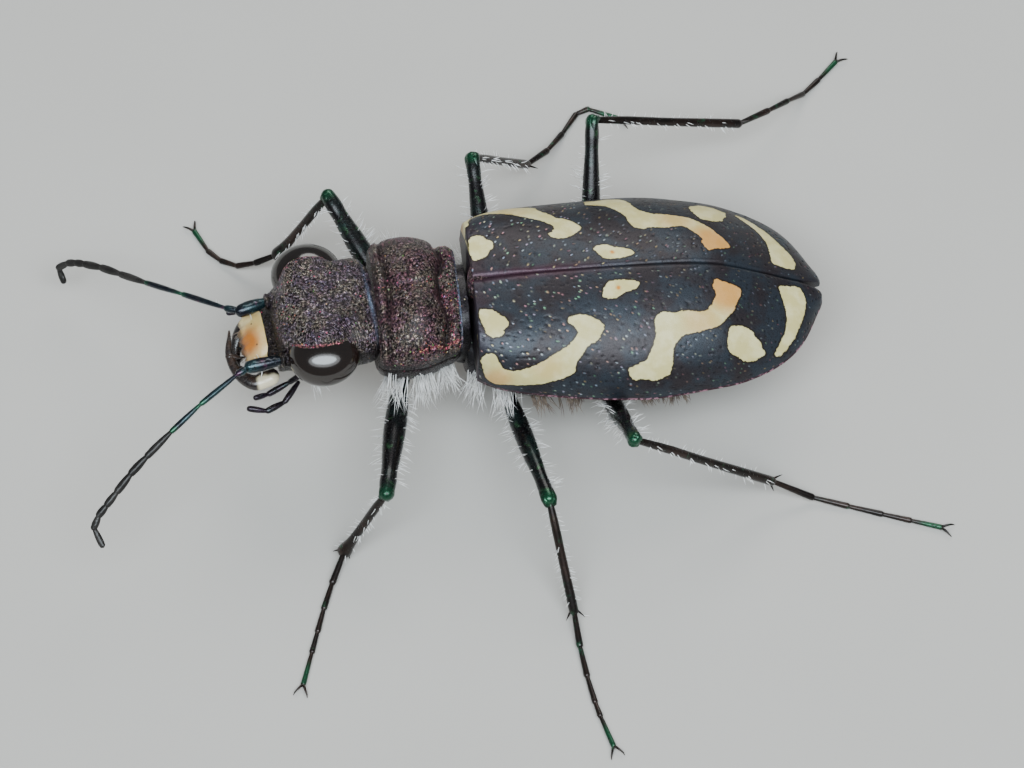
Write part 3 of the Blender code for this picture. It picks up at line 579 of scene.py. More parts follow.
# Outlines of the pale markings: distance from the base, and round the case from the seam
markings = {
    "shoulderSpot": ((0.1, 1.05), (0.23, 1.04), (0.44, 1.09), (0.56, 1.18), (0.69, 1.31), (0.82, 1.42),
                     (0.84, 1.6), (0.71, 1.72), (0.66, 1.86), (0.44, 1.91), (0.28, 1.84), (0.18, 1.66),
                     (0.08, 1.3)),
    "shoulderCrescent": (
        (0.05, 2.56), (0.1, 2.42), (0.21, 2.36), (0.33, 2.37), (0.46, 2.45), (0.53, 2.65), (0.67, 2.87),
        (0.85, 2.95), (1.05, 2.96), (1.41, 2.87), (1.82, 2.7), (2.08, 2.54), (2.49, 2.32), (2.74, 2.06),
        (2.82, 1.93), (2.72, 1.76), (2.55, 1.65), (2.59, 1.5), (2.79, 1.44), (3.05, 1.45), (3.23, 1.53),
        (3.49, 1.7), (3.56, 1.85), (3.46, 2.04), (3.33, 2.22), (3.05, 2.35), (2.93, 2.55), (2.75, 2.76),
        (2.69, 2.93), (2.68, 3.07), (2.43, 3.22), (2.08, 3.34), (1.77, 3.44), (1.51, 3.49), (1.15, 3.53),
        (0.87, 3.54), (0.56, 3.56), (0.36, 3.5), (0.21, 3.28), (0.12, 2.95)),
    "discSpot": ((3.61, 0.88), (3.69, 0.66), (3.82, 0.5), (4.0, 0.46), (4.18, 0.46), (4.41, 0.48),
                 (4.68, 0.57), (4.61, 0.72), (4.41, 0.81), (4.23, 0.87), (4.02, 0.99), (3.79, 1.01),
                 (3.67, 0.96)),
    "middleBand": (
        (4.23, 3.08), (4.25, 3.24), (4.3, 3.37), (4.43, 3.42), (4.61, 3.39), (4.95, 3.46), (5.15, 3.41),
        (5.36, 3.31), (5.43, 3.17), (5.48, 2.95), (5.49, 2.71), (5.54, 2.5), (5.64, 2.34), (5.87, 2.16),
        (6.05, 2.12), (6.3, 2.07), (6.51, 2.0), (6.74, 1.94), (6.89, 1.86), (7.05, 1.71), (7.2, 1.56),
        (7.35, 1.39), (7.46, 1.18), (7.61, 0.9), (7.65, 0.75), (7.6, 0.65), (7.3, 0.57), (7.12, 0.56),
        (6.94, 0.49), (6.85, 0.58), (6.82, 0.78), (6.89, 0.95), (6.8, 1.13), (6.7, 1.3), (6.53, 1.48),
        (6.28, 1.5), (6.07, 1.47), (5.84, 1.49), (5.51, 1.53), (5.33, 1.5), (5.15, 1.55), (5.05, 1.7),
        (5.03, 1.95), (5.04, 2.15), (4.97, 2.36), (4.84, 2.63), (4.72, 2.84), (4.5, 2.95)),
    "sideSpot": ((7.2, 1.93), (7.3, 1.84), (7.48, 1.8), (7.69, 1.8), (7.92, 1.9), (7.98, 2.02),
                 (8.13, 2.15), (8.18, 2.3), (8.27, 2.45), (8.07, 2.61), (7.94, 2.72), (7.61, 2.79),
                 (7.45, 2.72), (7.2, 2.61), (7.13, 2.45), (7.14, 2.2)),
    "tipCrescent": ((8.88, 0.34), (9.07, 0.27), (9.45, 0.22), (9.61, 0.33), (9.68, 0.6), (9.63, 0.88),
                    (9.51, 1.17), (9.38, 1.47), (9.25, 1.75), (9.07, 1.99), (8.87, 2.26), (8.69, 2.42),
                    (8.57, 2.42), (8.61, 2.28), (8.79, 1.96), (8.93, 1.68), (9.0, 1.37), (9.02, 1.11),
                    (8.97, 0.8), (8.91, 0.55)),
}
# Orange and brown stains on them: distance from the base, round the case, radius, share
stains = ((7.2, 0.8, 1.0, 0.75), (6.4, 1.75, 0.8, 0.35), (0.5, 3.3, 0.6, 0.5), (1.9, 2.9, 0.6, 0.2),
          (4.08, 0.7, 0.1, 1.0))


def smoothOutline(points, steps=4):
    count = len(points)
    line = [points[-1], *points, points[0], points[1]]
    found = []
    for i in range(1, count + 1):
        a, b, c, d = (np.array(line[i + k]) for k in (-1, 0, 1, 2))
        for k in range(steps):
            t = k / steps
            found.append(0.5 * (2 * b + (c - a) * t + (2 * a - 5 * b + 4 * c - d) * t**2
                                + (3 * b - a - 3 * c + d) * t**3))
    return np.array(found)


def markingDepth(spots):  # how deep each (x, round) spot lies inside a marking, negative outside
    depth = np.full(len(spots), -1.0)
    for points in markings.values():
        line = smoothOutline(points)
        ends = np.roll(line, -1, axis=0)
        nearest = np.full(len(spots), 9.0)
        inside = np.zeros(len(spots), bool)
        for start, end in zip(line, ends):
            edge = end - start
            share = np.clip(((spots - start) @ edge) / (edge @ edge), 0, 1)
            nearest = np.minimum(nearest, np.linalg.norm(spots - start - share[:, None] * edge, axis=1))
            crosses = (start[1] > spots[:, 1]) != (end[1] > spots[:, 1])
            at = start[0] + (spots[:, 1] - start[1]) * edge[0] / (edge[1] if abs(edge[1]) > 1e-9 else 1e-9)
            inside ^= crosses & (spots[:, 0] < at)
        depth = np.maximum(depth, np.where(inside, nearest, -nearest))
    return depth


def wingGrid(side):  # points of the case, row by row, and how far each lies round it from the seam
    sides = wings["top"] + wings["under"] + wings["wall"]
    count = wings["rows"] - 1
    grid, around = np.zeros((count, sides, 3)), np.zeros((count, sides))
    for row in range(count):
        share = math.sin(math.pi / 2 * row / (count - 1)) ** 1.1
        wide, high, roundness = between(wings["outline"], share)
        width, height = wide * wings["halfWidth"], high * wings["height"]
        past = max(0.0, (share - wings["recessFrom"]) / (1 - wings["recessFrom"]))
        recess = wings["recess"] * past ** 2
        inner = min(wings["seam"] + wings["gape"] * ease(share, 0.3, 0.9) + recess, width * 0.75)
        angle = math.pi / 2 * np.arange(wings["top"]) / (wings["top"] - 1)
        angle = angle * 0.75 + 0.25 * math.pi / 2 * (1 - np.cos(2 * angle)) / 2
        y = inner + (width - inner) * np.sin(angle) ** (2 / roundness)
        z = height * np.cos(angle).clip(0) ** (2 / roundness)
        z -= wings["seamDrop"] * np.exp(-((y - inner) / wings["seamRound"]) ** 2)
        length = np.concatenate([[0], np.cumsum(np.hypot(np.diff(y), np.diff(z)))])
        edge = np.exp(-((length[-1] - length - wings["rimWidth"] / 2) / (wings["rimWidth"] / 2)) ** 2)
        y = y + edge * wings["rimHeight"] * min(1, width)
        under = inner + (width - inner) * (1 - np.arange(1, wings["under"] + 1) / (wings["under"] + 1))
        wall = z[0] * np.arange(wings["wall"]) / wings["wall"]
        ys = np.concatenate([y, under, np.full(wings["wall"], inner)])
        zs = np.concatenate([z, np.zeros(wings["under"]), wall])
        grid[row] = np.stack([np.full(sides, share * wings["length"]), side * ys, zs + wings["lift"]], 1)
        around[row, :wings["top"]] = length
        around[row, wings["top"]:] = 9.0
    return grid, around


def makeWing(name, side):
    grid, around = wingGrid(side)
    count, sides = around.shape
    spots = np.stack([grid[:, :, 0].ravel(), around.ravel()], 1)
    if side > 0:
        skew = np.array(wings["skew"])
        spots = (spots - skew[:, 2]) @ np.linalg.inv(skew[:, :2]).T
    depth = markingDepth(spots).reshape(count, sides)
    reach = around[:, :wings["top"]].max(axis=1)
    bm = bmesh.new()
    names = ("marking", "stain", "pit", "glint", "hue", "rim")
    layers = {key: bm.verts.layers.float.new(key) for key in names}
    shell(bm, wings["rows"], sides, lambda row, side: Vector((row, side, 0)))
    ends = (grid[0].mean(axis=0), grid[-1].mean(axis=0))
    beside = Vector(wings["glintAside"]) * Vector((1, side, 1))  # each glint lies on its pit's wall
    for vert in bm.verts:
        row, k = round(vert.co.x) - 1, round(vert.co.y)
        if row < 0 or row >= count:
            vert.co = Vector(ends[0] if row < 0 else ends[1])
            continue
        point = Vector(grid[row, k])
        vert.co = point
        if k >= wings["top"]:
            vert[layers["marking"]] = -1.0
            continue
        x, across = spots[row * sides + k]
        vert[layers["marking"]] = depth[row, k]
        way = around[row, k]
        vert[layers["rim"]] = ease(way, reach[row] - 0.1, reach[row] - 0.03)
        vert[layers["stain"]] = max(
            strength * ease(math.hypot(x - at, across - off), radius, radius * 0.3)
            for at, off, radius, strength in stains)
        away, near = noise.voronoi(point * wings["pitsPerMm"])
        centre = near[0]
        lucky = noise.cell(centre * 7.13) * 0.5 + 0.5
        clear = ease(-depth[row, k], 0.02, 0.09) * ease(reach[row] - way, 0.06, 0.16) * ease(way, 0.02, 0.09)
        pit = ease(away[0], wings["pitWidth"], 0.12) * clear
        vert[layers["pit"]] = pit
        fleck = (point * wings["pitsPerMm"] - centre - beside).length
        shine = ease(lucky, -0.5, 0.3) * (0.3 + 0.7 * ease(-point.x, -6.5, -1.0))
        vert[layers["glint"]] = ease(fleck, wings["glintWidth"], 0.05) * clear * shine * wings["glintShare"]
        vert[layers["hue"]] = noise.cell(centre * 3.71) * 0.5 + 0.5
        vert.co = point - point.normalized() * pit * wings["pitDepth"] * 0.8
        vert.co.z -= pit * wings["pitDepth"] * 0.3
    turnOutwards(bm)
    makePiece("wing_case_" + name, bm, wingFinish, ["elytron_" + name])


wingFinish = makeWingFinish()
for name, side in signs.items():
    makeWing(name, side)
print("wing cases are made")

# Shield between the cases, pronotum, trunk and belly

bronze = makeCrestFinish("bronze_shell", bodyPlace, (0.27, 0.215, 0.175), (0.26, 0.11, 0.15))
belly = makeBellyFinish()

shield = {"back": 0.66, "halfWidth": 0.6, "front": -0.14, "top": 1.79, "low": 1.3, "dome": 0.04,
          "rows": 24, "sides": 48}


def makeShield():
    bm = bmesh.new()

    def shape(row, side):
        down, turn = row / shield["rows"], math.tau * side / shield["sides"]
        out = math.sin(math.pi * down) ** 0.35
        x, y = math.cos(turn) * out, math.sin(turn) * out
        width = shield["halfWidth"] * (1 - ease(x, -0.7, 1.0) * 0.93)
        z = shield["top"] if down < 0.5 else shield["low"]
        z += shield["dome"] * (1 - out) * (1 if down < 0.5 else 0) + 0.03 * math.exp(-(y / 0.2) ** 2)
        return Vector((shield["front"] + (shield["back"] - shield["front"]) * (x + 1) / 2, y * width, z))

    addShell(bm, shield["rows"], shield["sides"], shape)
    # low darkens the whole shield evenly; edge gives it a few painted glints
    marks = {"flow": lambda p: p.y, "striped": 0.3, "edge": 0.2, "low": 0.3, "seam": 0.0}
    makePiece("shield", bm, bronze, ["scutellum"], marks=marks)


# x, half width, top, height of the widest level, bottom
prothorax = {
    "rows": 190, "sides": 220, "roundness": 2.5,
    "sections": (
        (-2.76, 1.84, 1.2, 0.5, -0.75), (-2.64, 1.97, 1.42, 0.55, -1.0), (-2.38, 2.03, 1.44, 0.58, -1.2),
        (-2.2, 2.05, 1.58, 0.6, -1.3), (-1.9, 2.07, 1.7, 0.6, -1.38), (-1.5, 2.03, 1.74, 0.6, -1.38),
        (-1.15, 1.92, 1.66, 0.6, -1.32), (-0.9, 1.82, 1.46, 0.62, -1.25), (-0.72, 1.75, 1.42, 0.65, -1.15),
        (-0.53, 1.69, 1.48, 0.68, -1.0), (-0.36, 1.57, 1.38, 0.68, -0.8)),
    "seamLevel": 0.42,
}


def pronotumRelief(p):
    above = ease(p.z, 0.5, 1.1)
    side = abs(p.y)
    lift = -0.09 * bump(p.x, frontGroove(side), 0.07) * above
    lift -= 0.15 * bump(p.x, rearGroove(side), 0.09) * above
    lift -= 0.12 * bump(p.y, 0, 0.1) * above * ease(p.x, -2.5, -2.3) * ease(-p.x, 0.7, 0.9)
    lift += 0.15 * bump(side, 0.85, 0.5) * bump(p.x, -1.6, 0.5) * above
    lift -= 0.05 * bump(p.z, prothorax["seamLevel"] + 0.04 * p.x, 0.035)  # where the notum folds under
    folds = noise.fractal(Vector((p.x * 9, p.y * 9, p.z * 6)), 0.8, 2.1, 3)
    lift += 0.009 * abs(folds) * 2 * (0.4 + 0.6 * above)
    out = Vector((0, p.y * 0.5, p.z - 0.2)).normalized()
    return p + out * lift


def frontGroove(side):
    return -2.43 + 0.05 * math.cos(side * 2)


def rearGroove(side):  # it bows forwards beside the midline
    return -0.74 - 0.2 * bump(side, 0.25, 0.45) - 0.12 * ease(side, 0.9, 1.7)


# where the painted glints gather: the rear strip, the side brims and the midline
def pronotumEdge(p):
    side = abs(p.y)
    rear = ease(p.x, rearGroove(side) - 0.05, rearGroove(side) + 0.1)
    wide = between(prothorax["sections"], p.x)[0]
    brim = bump(side / wide, 0.93, 0.04) * ease(p.x, -2.1, -1.5)
    middle = bump(p.y, 0.05, 0.12) * 0.45
    return max(rear * 0.4, brim, middle * 0.7) * ease(p.z, 0.35, 0.8)


pronotumMarks = {
    "flow": lambda p: p.x * 0.8 + p.y * 0.6 * (1 if p.y > 0 else -1),
    "striped": 0.35,
    "edge": pronotumEdge,
    # low: painted shade in the grooves, along the midline and underneath
    "low": lambda p: max(ease(-p.z, -0.85, -0.45), 0.9 * bump(p.x, rearGroove(abs(p.y)), 0.05),
                         0.6 * bump(p.x, frontGroove(p.y), 0.07), 0.4 * bump(p.y, 0, 0.03)),
    # seam: pale-blue painted sheen, partly the membrane's colour, towards the wing cases
    "seam": lambda p: bump(p.x, -0.37, 0.05) * ease(p.z, 0.3, 0.9) * (0.3 + 0.7 * bump(p.y, -0.6, 0.6)),
}


def makeProthorax():
    bm = bmesh.new()
    addTrunk(bm, prothorax["sections"], prothorax["rows"], prothorax["sides"], prothorax["roundness"],
             lambda p: clearOf(pronotumRelief(p), "fore"), cup=0.5)
    for side in (-1, 1):
        addBall(bm, coxaOf("fore", side), (0.42, 0.4, 0.45), 24, 32)
    makePiece("pronotum", bm, bronze, ["prothorax"], marks=pronotumMarks)


trunk = {
    "sternum": ((-0.15, 1.55, 0.2, -0.5, -1.35), (0.3, 1.95, 0.25, -0.5, -1.6), (1.2, 2.3, 0.28, -0.5, -1.78),
                (2.2, 2.5, 0.28, -0.5, -1.8), (4.1, 2.5, 0.28, -0.5, -1.6)),
    "collar": ((-1.0, 1.05, 0.95, 0.1, -0.9), (-0.7, 1.25, 1.1, 0.1, -1.1), (-0.4, 1.35, 1.2, 0.1, -1.25),
               (-0.1, 1.3, 1.22, 0.1, -1.35)),
    "seams": ((0.62, 0.12), (1.9, -0.35), (3.1, 0.25)),  # where the side plates meet, and their slant
}


def trunkRelief(p):
    lift = 0.0
    for at, slant in trunk["seams"]:
        lift -= 0.05 * bump(p.x, at + slant * p.z, 0.045)
    lift -= 0.05 * bump(p.y, 0, 0.05) * ease(-p.z, 1.2, 1.5)
    lift += 0.02 * noise.fractal(p * 5, 0.8, 2.1, 3)
    return p + Vector((0, p.y, p.z)).normalized() * lift


def makeTrunk():
    bm = bmesh.new()
    addTrunk(bm, trunk["sternum"], 120, 130, relief=lambda p: clearOf(trunkRelief(p), "middle", "hind"))
    addTrunk(bm, trunk["collar"], 30, 80)
    addBall(bm, (-0.2, 0, -0.8), (0.55, 1.2, 0.45))
    for pair in ("middle", "hind"):
        for side in (-1, 1):
            addBall(bm, coxaOf(pair, side), (0.45, 0.42, 0.43), 24, 32)
    makePiece("trunk", bm, belly, ["thorax"])


abdomen = {
    "start": 4.1, "end": 9.8, "plates": 6, "rows": 180, "sides": 120,
    "sections": ((4.1, 2.56, 0.28, -0.5, -1.6), (5.5, 2.72, 0.28, -0.5, -1.5), (7.5, 2.4, 0.25, -0.45, -1.2),
                 (8.8, 1.75, 0.2, -0.4, -0.9), (9.8, 0.6, 0.12, -0.35, -0.55)),
}


def bellyRelief(p):
    at = (p.x - abdomen["start"]) / (abdomen["end"] - abdomen["start"]) * abdomen["plates"] % 1
    lift = -0.07 * (1 - ease(at, 0.0, 0.14)) + 0.03 * ease(at, 0.3, 1.0)
    lift += 0.012 * noise.fractal(p * 6, 0.8, 2.1, 3)
    return p + Vector((0, p.y, p.z)).normalized() * lift * ease(-p.z, -0.1, 0.3)


def makeBelly():
    bm = bmesh.new()
    addTrunk(bm, abdomen["sections"], abdomen["rows"], abdomen["sides"],
             relief=lambda p: clearOf(bellyRelief(p), "hind"))
    makePiece("belly", bm, belly, ["abdomen"])


# Legs, in the floor's directions; the coxae are in the body's

legs = {
    "fore_left": {"knee": (-2.88, -5.17, 2.75), "ankle": (-4.17, -5.55, 0.42),
                  "foot": ((-4.75, -6.75, 0.2), (-5.2, -8.0, 0.19), (-5.75, -9.6, 0.17))},
    "middle_left": {"knee": (1.68, -5.76, 2.6), "ankle": (2.12, -8.25, 0.45),
                    "foot": ((2.2, -9.6, 0.2), (2.4, -11.1, 0.19), (2.75, -12.5, 0.17))},
    "hind_left": {"knee": (4.14, -5.25, 4.6), "ankle": (8.25, -4.95, 0.95),
                  "foot": ((9.6, -5.3, 0.22), (11.3, -5.95, 0.19), (12.96, -6.58, 0.17))},
    "fore_right": {"knee": (-3.6, 4.43, 3.5), "ankle": (-5.17, 4.18, 1.05),
                   "foot": ((-6.1, 4.25, 0.5), (-6.69, 4.55, 0.2), (-7.2, 5.05, 0.19), (-7.55, 5.8, 0.17))},
    "middle_right": {"knee": (0.69, 5.28, 3.5), "ankle": (2.45, 6.55, 0.92),
                     "foot": ((3.3, 7.39, 0.45), (3.85, 8.2, 0.19), (4.35, 8.75, 0.18), (5.0, 8.6, 0.18),
                              (5.45, 8.3, 0.17))},
    "hind_right": {"knee": (4.25, 5.67, 4.3), "ankle": (8.8, 6.75, 1.75),
                   "foot": ((10.0, 7.58, 1.15), (10.72, 8.24, 0.6), (11.2, 8.68, 0.2), (12.17, 9.62, 0.17))},
}
pairs = {
    "fore": {"coxa": (-1.9, 1.0, -1.15), "femur": 0.65, "tibia": 0.26, "flare": 0.44, "bow": 0.05,
             "room": 0.4, "joints": (0, 0.236, 0.428, 0.6, 0.754, 1)},
    "middle": {"coxa": (0.9, 1.35, -1.35), "femur": 0.55, "tibia": 0.25, "flare": 0.28, "bow": 0.05,
               "room": 0.36, "joints": (0, 0.24, 0.46, 0.66, 0.76, 1)},
    "hind": {"coxa": (3.85, 1.5, -1.35), "femur": 0.55, "tibia": 0.25, "flare": 0.28, "bow": 0.42,
             "room": 0.36, "joints": (0, 0.265, 0.469, 0.663, 0.823, 1)},
}
femurShape = (0.56, 0.66, 0.8, 0.92, 0.99, 1.0, 0.97, 0.9, 0.8, 0.72, 0.76, 0.66)
tarsus = {"widths": (0.209, 0.19, 0.1805, 0.1748, 0.1634), "height": 0.095,
          "shares": (0.02, 0.35, 0.75, 0.96), "swell": (0.72, 0.84, 0.94, 1)}
limbEnds = {"lobe": (0.12, 0.14, 0.09), "spur": (0.04, 0.028, 0.008), "claw": (0.045, 0.036, 0.024, 0.008)}
# how far each bend lies ahead, aside and above
spurBends = ((0, 0, 0), (0.12, 0.1, 0), (0.26, 0.2, 0))
clawBends = ((-0.05, 0, 0), (0.12, 0.09, 0.03), (0.25, 0.17, 0), (0.33, 0.2, -0.06))


def coxaOf(pair, side):
    x, y, z = pairs[pair]["coxa"]
    return Vector((x, y * side, z))


def femurLine(name, share=0.0, count=11):
    pair, side = name.split("_")
    coxa, knee = bodyPlace @ coxaOf(pair, signs[side]), Vector(legs[name]["knee"])
    bow = pairs[pair]["bow"] * 6.75
    shares = [share + (1 - share) * k / count for k in range(count + 1)]
    return [coxa.lerp(knee, s) - upwards * bow * s * (1 - s) ** 2 for s in shares]


femurPaths = {name: [bodyPlace.inverted() @ p for p in femurLine(name, 0.08, 5)] for name in legs}


def clearOf(point, *which):  # keeps the body's surface clear of the thighs
    for name, path in femurPaths.items():
        pair = name.split("_")[0]
        if pair not in which or point.y * path[-1].y < 0:
            continue
        room = pairs[pair]["room"]
        for length in zip(path, path[1:]):
            off = point - nearestOn(length, point)
            if off.length < room:
                inward = Vector((0, -point.y, 0)).normalized()
                point = point + inward * (room - off.length) * 0.9
    return point


def footJoints(name):
    leg = legs[name]
    line = [Vector(p) for p in (leg["ankle"], *leg["foot"])]
    dense = np.array([alongLine(line, k / 40) for k in range(41)])
    gone = np.concatenate([[0], np.linalg.norm(np.diff(dense, axis=0), axis=1).cumsum()])
    shares = np.array(pairs[name.split("_")[0]]["joints"]) * gone[-1]
    joints = np.stack([np.interp(shares, gone, dense[:, i]) for i in range(3)], 1)
    return [Vector((x, y, max(tarsus["height"], z - 0.1))) for x, y, z in joints]


def hooked(root, ahead, out, bends):
    return [root + ahead * far + out * wide + upwards * rise for far, wide, rise in bends]


def makeFemur(name, node, size, knee, along):
    bm = bmesh.new()
    line = femurLine(name, 0.06)
    addLimb(bm, line, [s * size["femur"] / 2 for s in femurShape], 20, 3)
    addBall(bm, line[0].lerp(line[1], 0.5), (0.26, 0.26, 0.24))
    thighEnd = (knee - line[-2]).normalized()
    across = thighEnd.cross(along).normalized()
    for turn in (-1, 1):  # the two lobes of the knee
        spot = knee + across * turn * 0.1
        lobe = [spot - thighEnd * 0.3, spot, spot + thighEnd * 0.05 + along * 0.12]
        addLimb(bm, lobe, limbEnds["lobe"], 12, 3)
    green = {"tip": lambda p: ease(-(p - knee).length, -0.32, -0.16)}
    makePiece("femur_" + name, bm, limbFinishes["green_thigh"], [node + "femur"], floorPlace, green)


def makeTibia(name, node, size, knee, along, toes):
    bm = bmesh.new()
    ankle = Vector(legs[name]["ankle"])
    low = Vector((ankle.x, ankle.y, toes[0].z))
    shin = [knee + along * 0.16, knee.lerp(ankle, 0.25), *[knee.lerp(low, s) for s in (0.5, 0.8, 0.99)]]
    half = size["tibia"] / 2
    addLimb(bm, shin, (half * 0.8, half, half, half * 1.1, size["flare"] / 2), 16, 5)
    addBall(bm, knee + along * 0.08, (0.13, 0.13, 0.13), 12, 16)
    out = along.cross(toes[1] - toes[0]).normalized()
    for turn in (-1, 1):  # spurs at the lower end
        root = low - along * 0.05 + out * turn * 0.07
        spur = hooked(root, along, out * turn, spurBends)
        addLimb(bm, [Vector((p.x, p.y, max(p.z, 0.04))) for p in spur], limbEnds["spur"], 8, 3)
    makePiece("tibia_" + name, bm, limbFinishes["brown_shin"], [node + "tibia"], floorPlace)


def makeTarsus(name, node, toes):
    bm = bmesh.new()
    addJointed(bm, toes, tarsus["widths"], 12, tarsus["shares"], tarsus["swell"])
    start, end = toes[-2:]
    ahead = (end - start).normalized()
    out = ahead.cross(upwards).normalized()
    for turn in (-1, 1):
        addLimb(bm, hooked(end, ahead, out * turn, clawBends), limbEnds["claw"], 8, 3)
    last = (end - start).length
    green = {"tip": lambda p: ease((start - p).length, last * 0.2, last * 0.6)
             * ease((end - p).dot(ahead), -0.02, 0.06) * ease((p - start).dot(ahead), 0.0, 0.1)}
    makePiece("tarsus_" + name, bm, limbFinishes["brown_shin"], [node + "tarsus"], floorPlace, green)


def makeLeg(name):
    pair, side = name.split("_")
    node, size, toes = f"{pair}_leg_{side}_", pairs[pair], footJoints(name)
    knee, ankle = Vector(legs[name]["knee"]), Vector(legs[name]["ankle"])
    along = (ankle - knee).normalized()
    makeFemur(name, node, size, knee, along)
    makeTibia(name, node, size, knee, along, toes)
    makeTarsus(name, node, toes)


limbFinishes = {name: makeLimbFinish(name) for name in limbLooks}
makeShield()
makeProthorax()
makeTrunk()
makeBelly()
print("shield, pronotum, trunk and belly are made")
for name in legs:
    makeLeg(name)
print("legs are made")

# Head

head = {
    "rows": 170, "sides": 220, "roundness": 2.6,
    "sections": (
        (-2.62, 1.08, -0.18, -0.8, -1.72), (-2.5, 1.12, 0.12, -0.6, -1.82), (-2.3, 1.17, 0.42, -0.4, -1.86),
        (-1.95, 1.42, 0.68, -0.25, -1.86), (-1.5, 1.55, 0.74, -0.25, -1.8), (-0.95, 1.53, 0.7, -0.3, -1.7),
        (-0.3, 1.58, 0.6, -0.3, -1.5), (0.1, 1.53, 0.46, -0.3, -1.3), (0.35, 1.2, 0.22, -0.3, -0.95)),
    "clypeus": ((-2.92, 0.84, -0.46, -0.75, -1.05), (-2.78, 0.9, -0.38, -0.72, -1.1),
                (-2.6, 0.93, -0.2, -0.6, -1.05), (-2.3, 0.95, 0.1, -0.5, -1.0)),
    "brow": ((-2.25, 1.12, 0.3), (-1.95, 1.34, 0.52), (-1.6, 1.47, 0.62), (-1.2, 1.49, 0.6),
             (-0.9, 1.46, 0.5), (-0.6, 1.44, 0.35)),
    "hollow": 0.07,
}
browLine = [Vector(p) for p in head["brow"]]
eye = {"centre": (-1.37, 1.34, -0.15), "radii": (1.02, 0.95, 0.74)}
mouth = {
    "lip": ((-3.5, 0.35, -0.95, -1.05, -1.14), (-3.42, 0.7, -0.8, -1.03, -1.13),
            (-3.3, 0.9, -0.64, -1.00, -1.1), (-3.1, 0.97, -0.48, -0.97, -1.07),
            (-2.86, 0.86, -0.4, -0.93, -1.03)),
    "teeth": (-0.62, -0.3, 0.0, 0.3, 0.62), "stain": (-3.3, -0.2, -0.75),
    "jaws": {
        "left": ((-2.9, -0.92, -1.6), (-3.35, -0.98, -1.65), (-3.75, -0.6, -1.65), (-3.9, 0.05, -1.58),
                 (-3.78, 0.7, -1.42)),
        "right": ((-2.9, 0.92, -1.62), (-3.3, 0.98, -1.85), (-3.6, 0.65, -2.12), (-3.72, 0.1, -2.25),
                  (-3.62, -0.45, -2.18))},
    "jawRadii": (0.28, 0.24, 0.17, 0.12, 0.03), "jawTeeth": ((0.42, 0.42), (0.58, 0.42), (0.72, 0.364)),
    "palps": (
        ("outer_palp_", "maxillary_palp_",
         ((-2.1, -1.02, -2.0), (-2.6, -1.5, -2.15), (-3.15, -1.72, -2.1), (-3.66, -1.62, -1.95)),
         (0.19, 0.2, 0.19)),
        ("inner_palp_", "labial_palp_",
         ((-1.75, -0.5, -2.35), (-2.3, -0.55, -2.75), (-2.95, -0.7, -2.95), (-3.35, -0.8, -2.85)),
         (0.18, 0.2, 0.18))),
}
bead = {"shares": (0.03, 0.3, 0.65, 0.95), "swell": (0.62, 0.86, 1, 0.93)}  # of palps and feelers


def browReach(p):  # distance from the brow's edge
    spot = Vector((p.x, abs(p.y), p.z))
    return (spot - nearestOn(browLine, spot)).length


def headRelief(p):
    side = abs(p.y)
    lift = 0.045 * bump(browReach(p), 0, 0.07)
    lift -= head["hollow"] * bump(p.y, 0, 0.5) * bump(p.x, -1.35, 0.75) * ease(p.z, 0.2, 0.5)
    lift += 0.05 * bump(side, 0.35, 0.16) * bump(p.x, -2.15, 0.25) * ease(p.z, 0.1, 0.4)
    lift -= 0.03 * bump(side, 1.0, 0.16) * bump(p.x, -1.5, 0.5) * ease(p.z, 0.3, 0.6)
    lift += 0.008 * abs(noise.fractal(Vector((p.x * 9, p.y * 9, p.z * 7)), 0.8, 2.1, 3)) * 2
    out = Vector((0.15 * (p.x + 1.2), p.y * 0.4, p.z + 0.4)).normalized()
    return p + out * lift


def headFlow(p):  # the wrinkles run round the eyes and along the middle
    away = math.hypot(p.x - eye["centre"][0], abs(p.y) - eye["centre"][1])
    share = ease(abs(p.y), 0.35, 0.9)
    return away * share + p.y * (1 - share) * 0.8


headMarks = {
    "flow": headFlow,
    "striped": lambda p: 0.4 + 0.4 * ease(abs(p.y), 0.55, 1.0),
    # edge: where the painted glints gather, along the brows and on the front
    "edge": lambda p: max(bump(browReach(p), 0, 0.1), 0.3 * bump(p.x, -2.15, 0.2) * bump(p.y, 0.2, 0.8)),
    # low: painted shade underneath
    "low": lambda p: ease(-p.z, -0.3, 0.25),
    # seam: pale-blue painted sheen, partly the membrane's colour, towards the pronotum
    "seam": lambda p: bump(p.x, 0.2, 0.05) * ease(p.z, -0.2, 0.15) * (0.25 + 0.75 * bump(p.y, -0.2, 0.4)),
}


def lipRelief(p):
    reach = ease(-p.x, 3.2, 3.5)
    teeth = sum(bump(p.y, at, 0.085) for at in mouth["teeth"])
    return p + Vector((-0.1 * teeth * reach, 0, 0.03 * bump(p.y, 0, 0.12) * (1 - reach)))


def headRoundness(x):  # flat on top between the eyes
    return head["roundness"] + 4.4 * math.exp(-((x + 1.45) / 0.62) ** 4)


def makeHead():
    bm = bmesh.new()
    addTrunk(bm, head["sections"], head["rows"], head["sides"], headRoundness, headRelief)
    addTrunk(bm, head["clypeus"], 20, 80)
    for joints in feelers.values():
        base = headPlace.inverted() @ Vector(joints[0])
        addBall(bm, base + Vector((0.26, 0, 0)), (0.26, 0.26, 0.26), 20, 28)
        addBall(bm, base + Vector((0.06, 0, 0)), (0.1, 0.24, 0.24), 20, 28)
    finish = makeCrestFinish("bronze_head", headPlace, (0.34, 0.28, 0.23), (0.23, 0.165, 0.235))
    makePiece("head_capsule", bm, finish, ["head"], headPlace, headMarks)
    for name, side in signs.items():
        bm = bmesh.new()
        addBall(bm, Vector(eye["centre"]) * Vector((1, side, 1)), eye["radii"], 72, 96)
        makePiece(f"eye_{name}_lens", bm, eyeFinish, ["eye_" + name], headPlace)


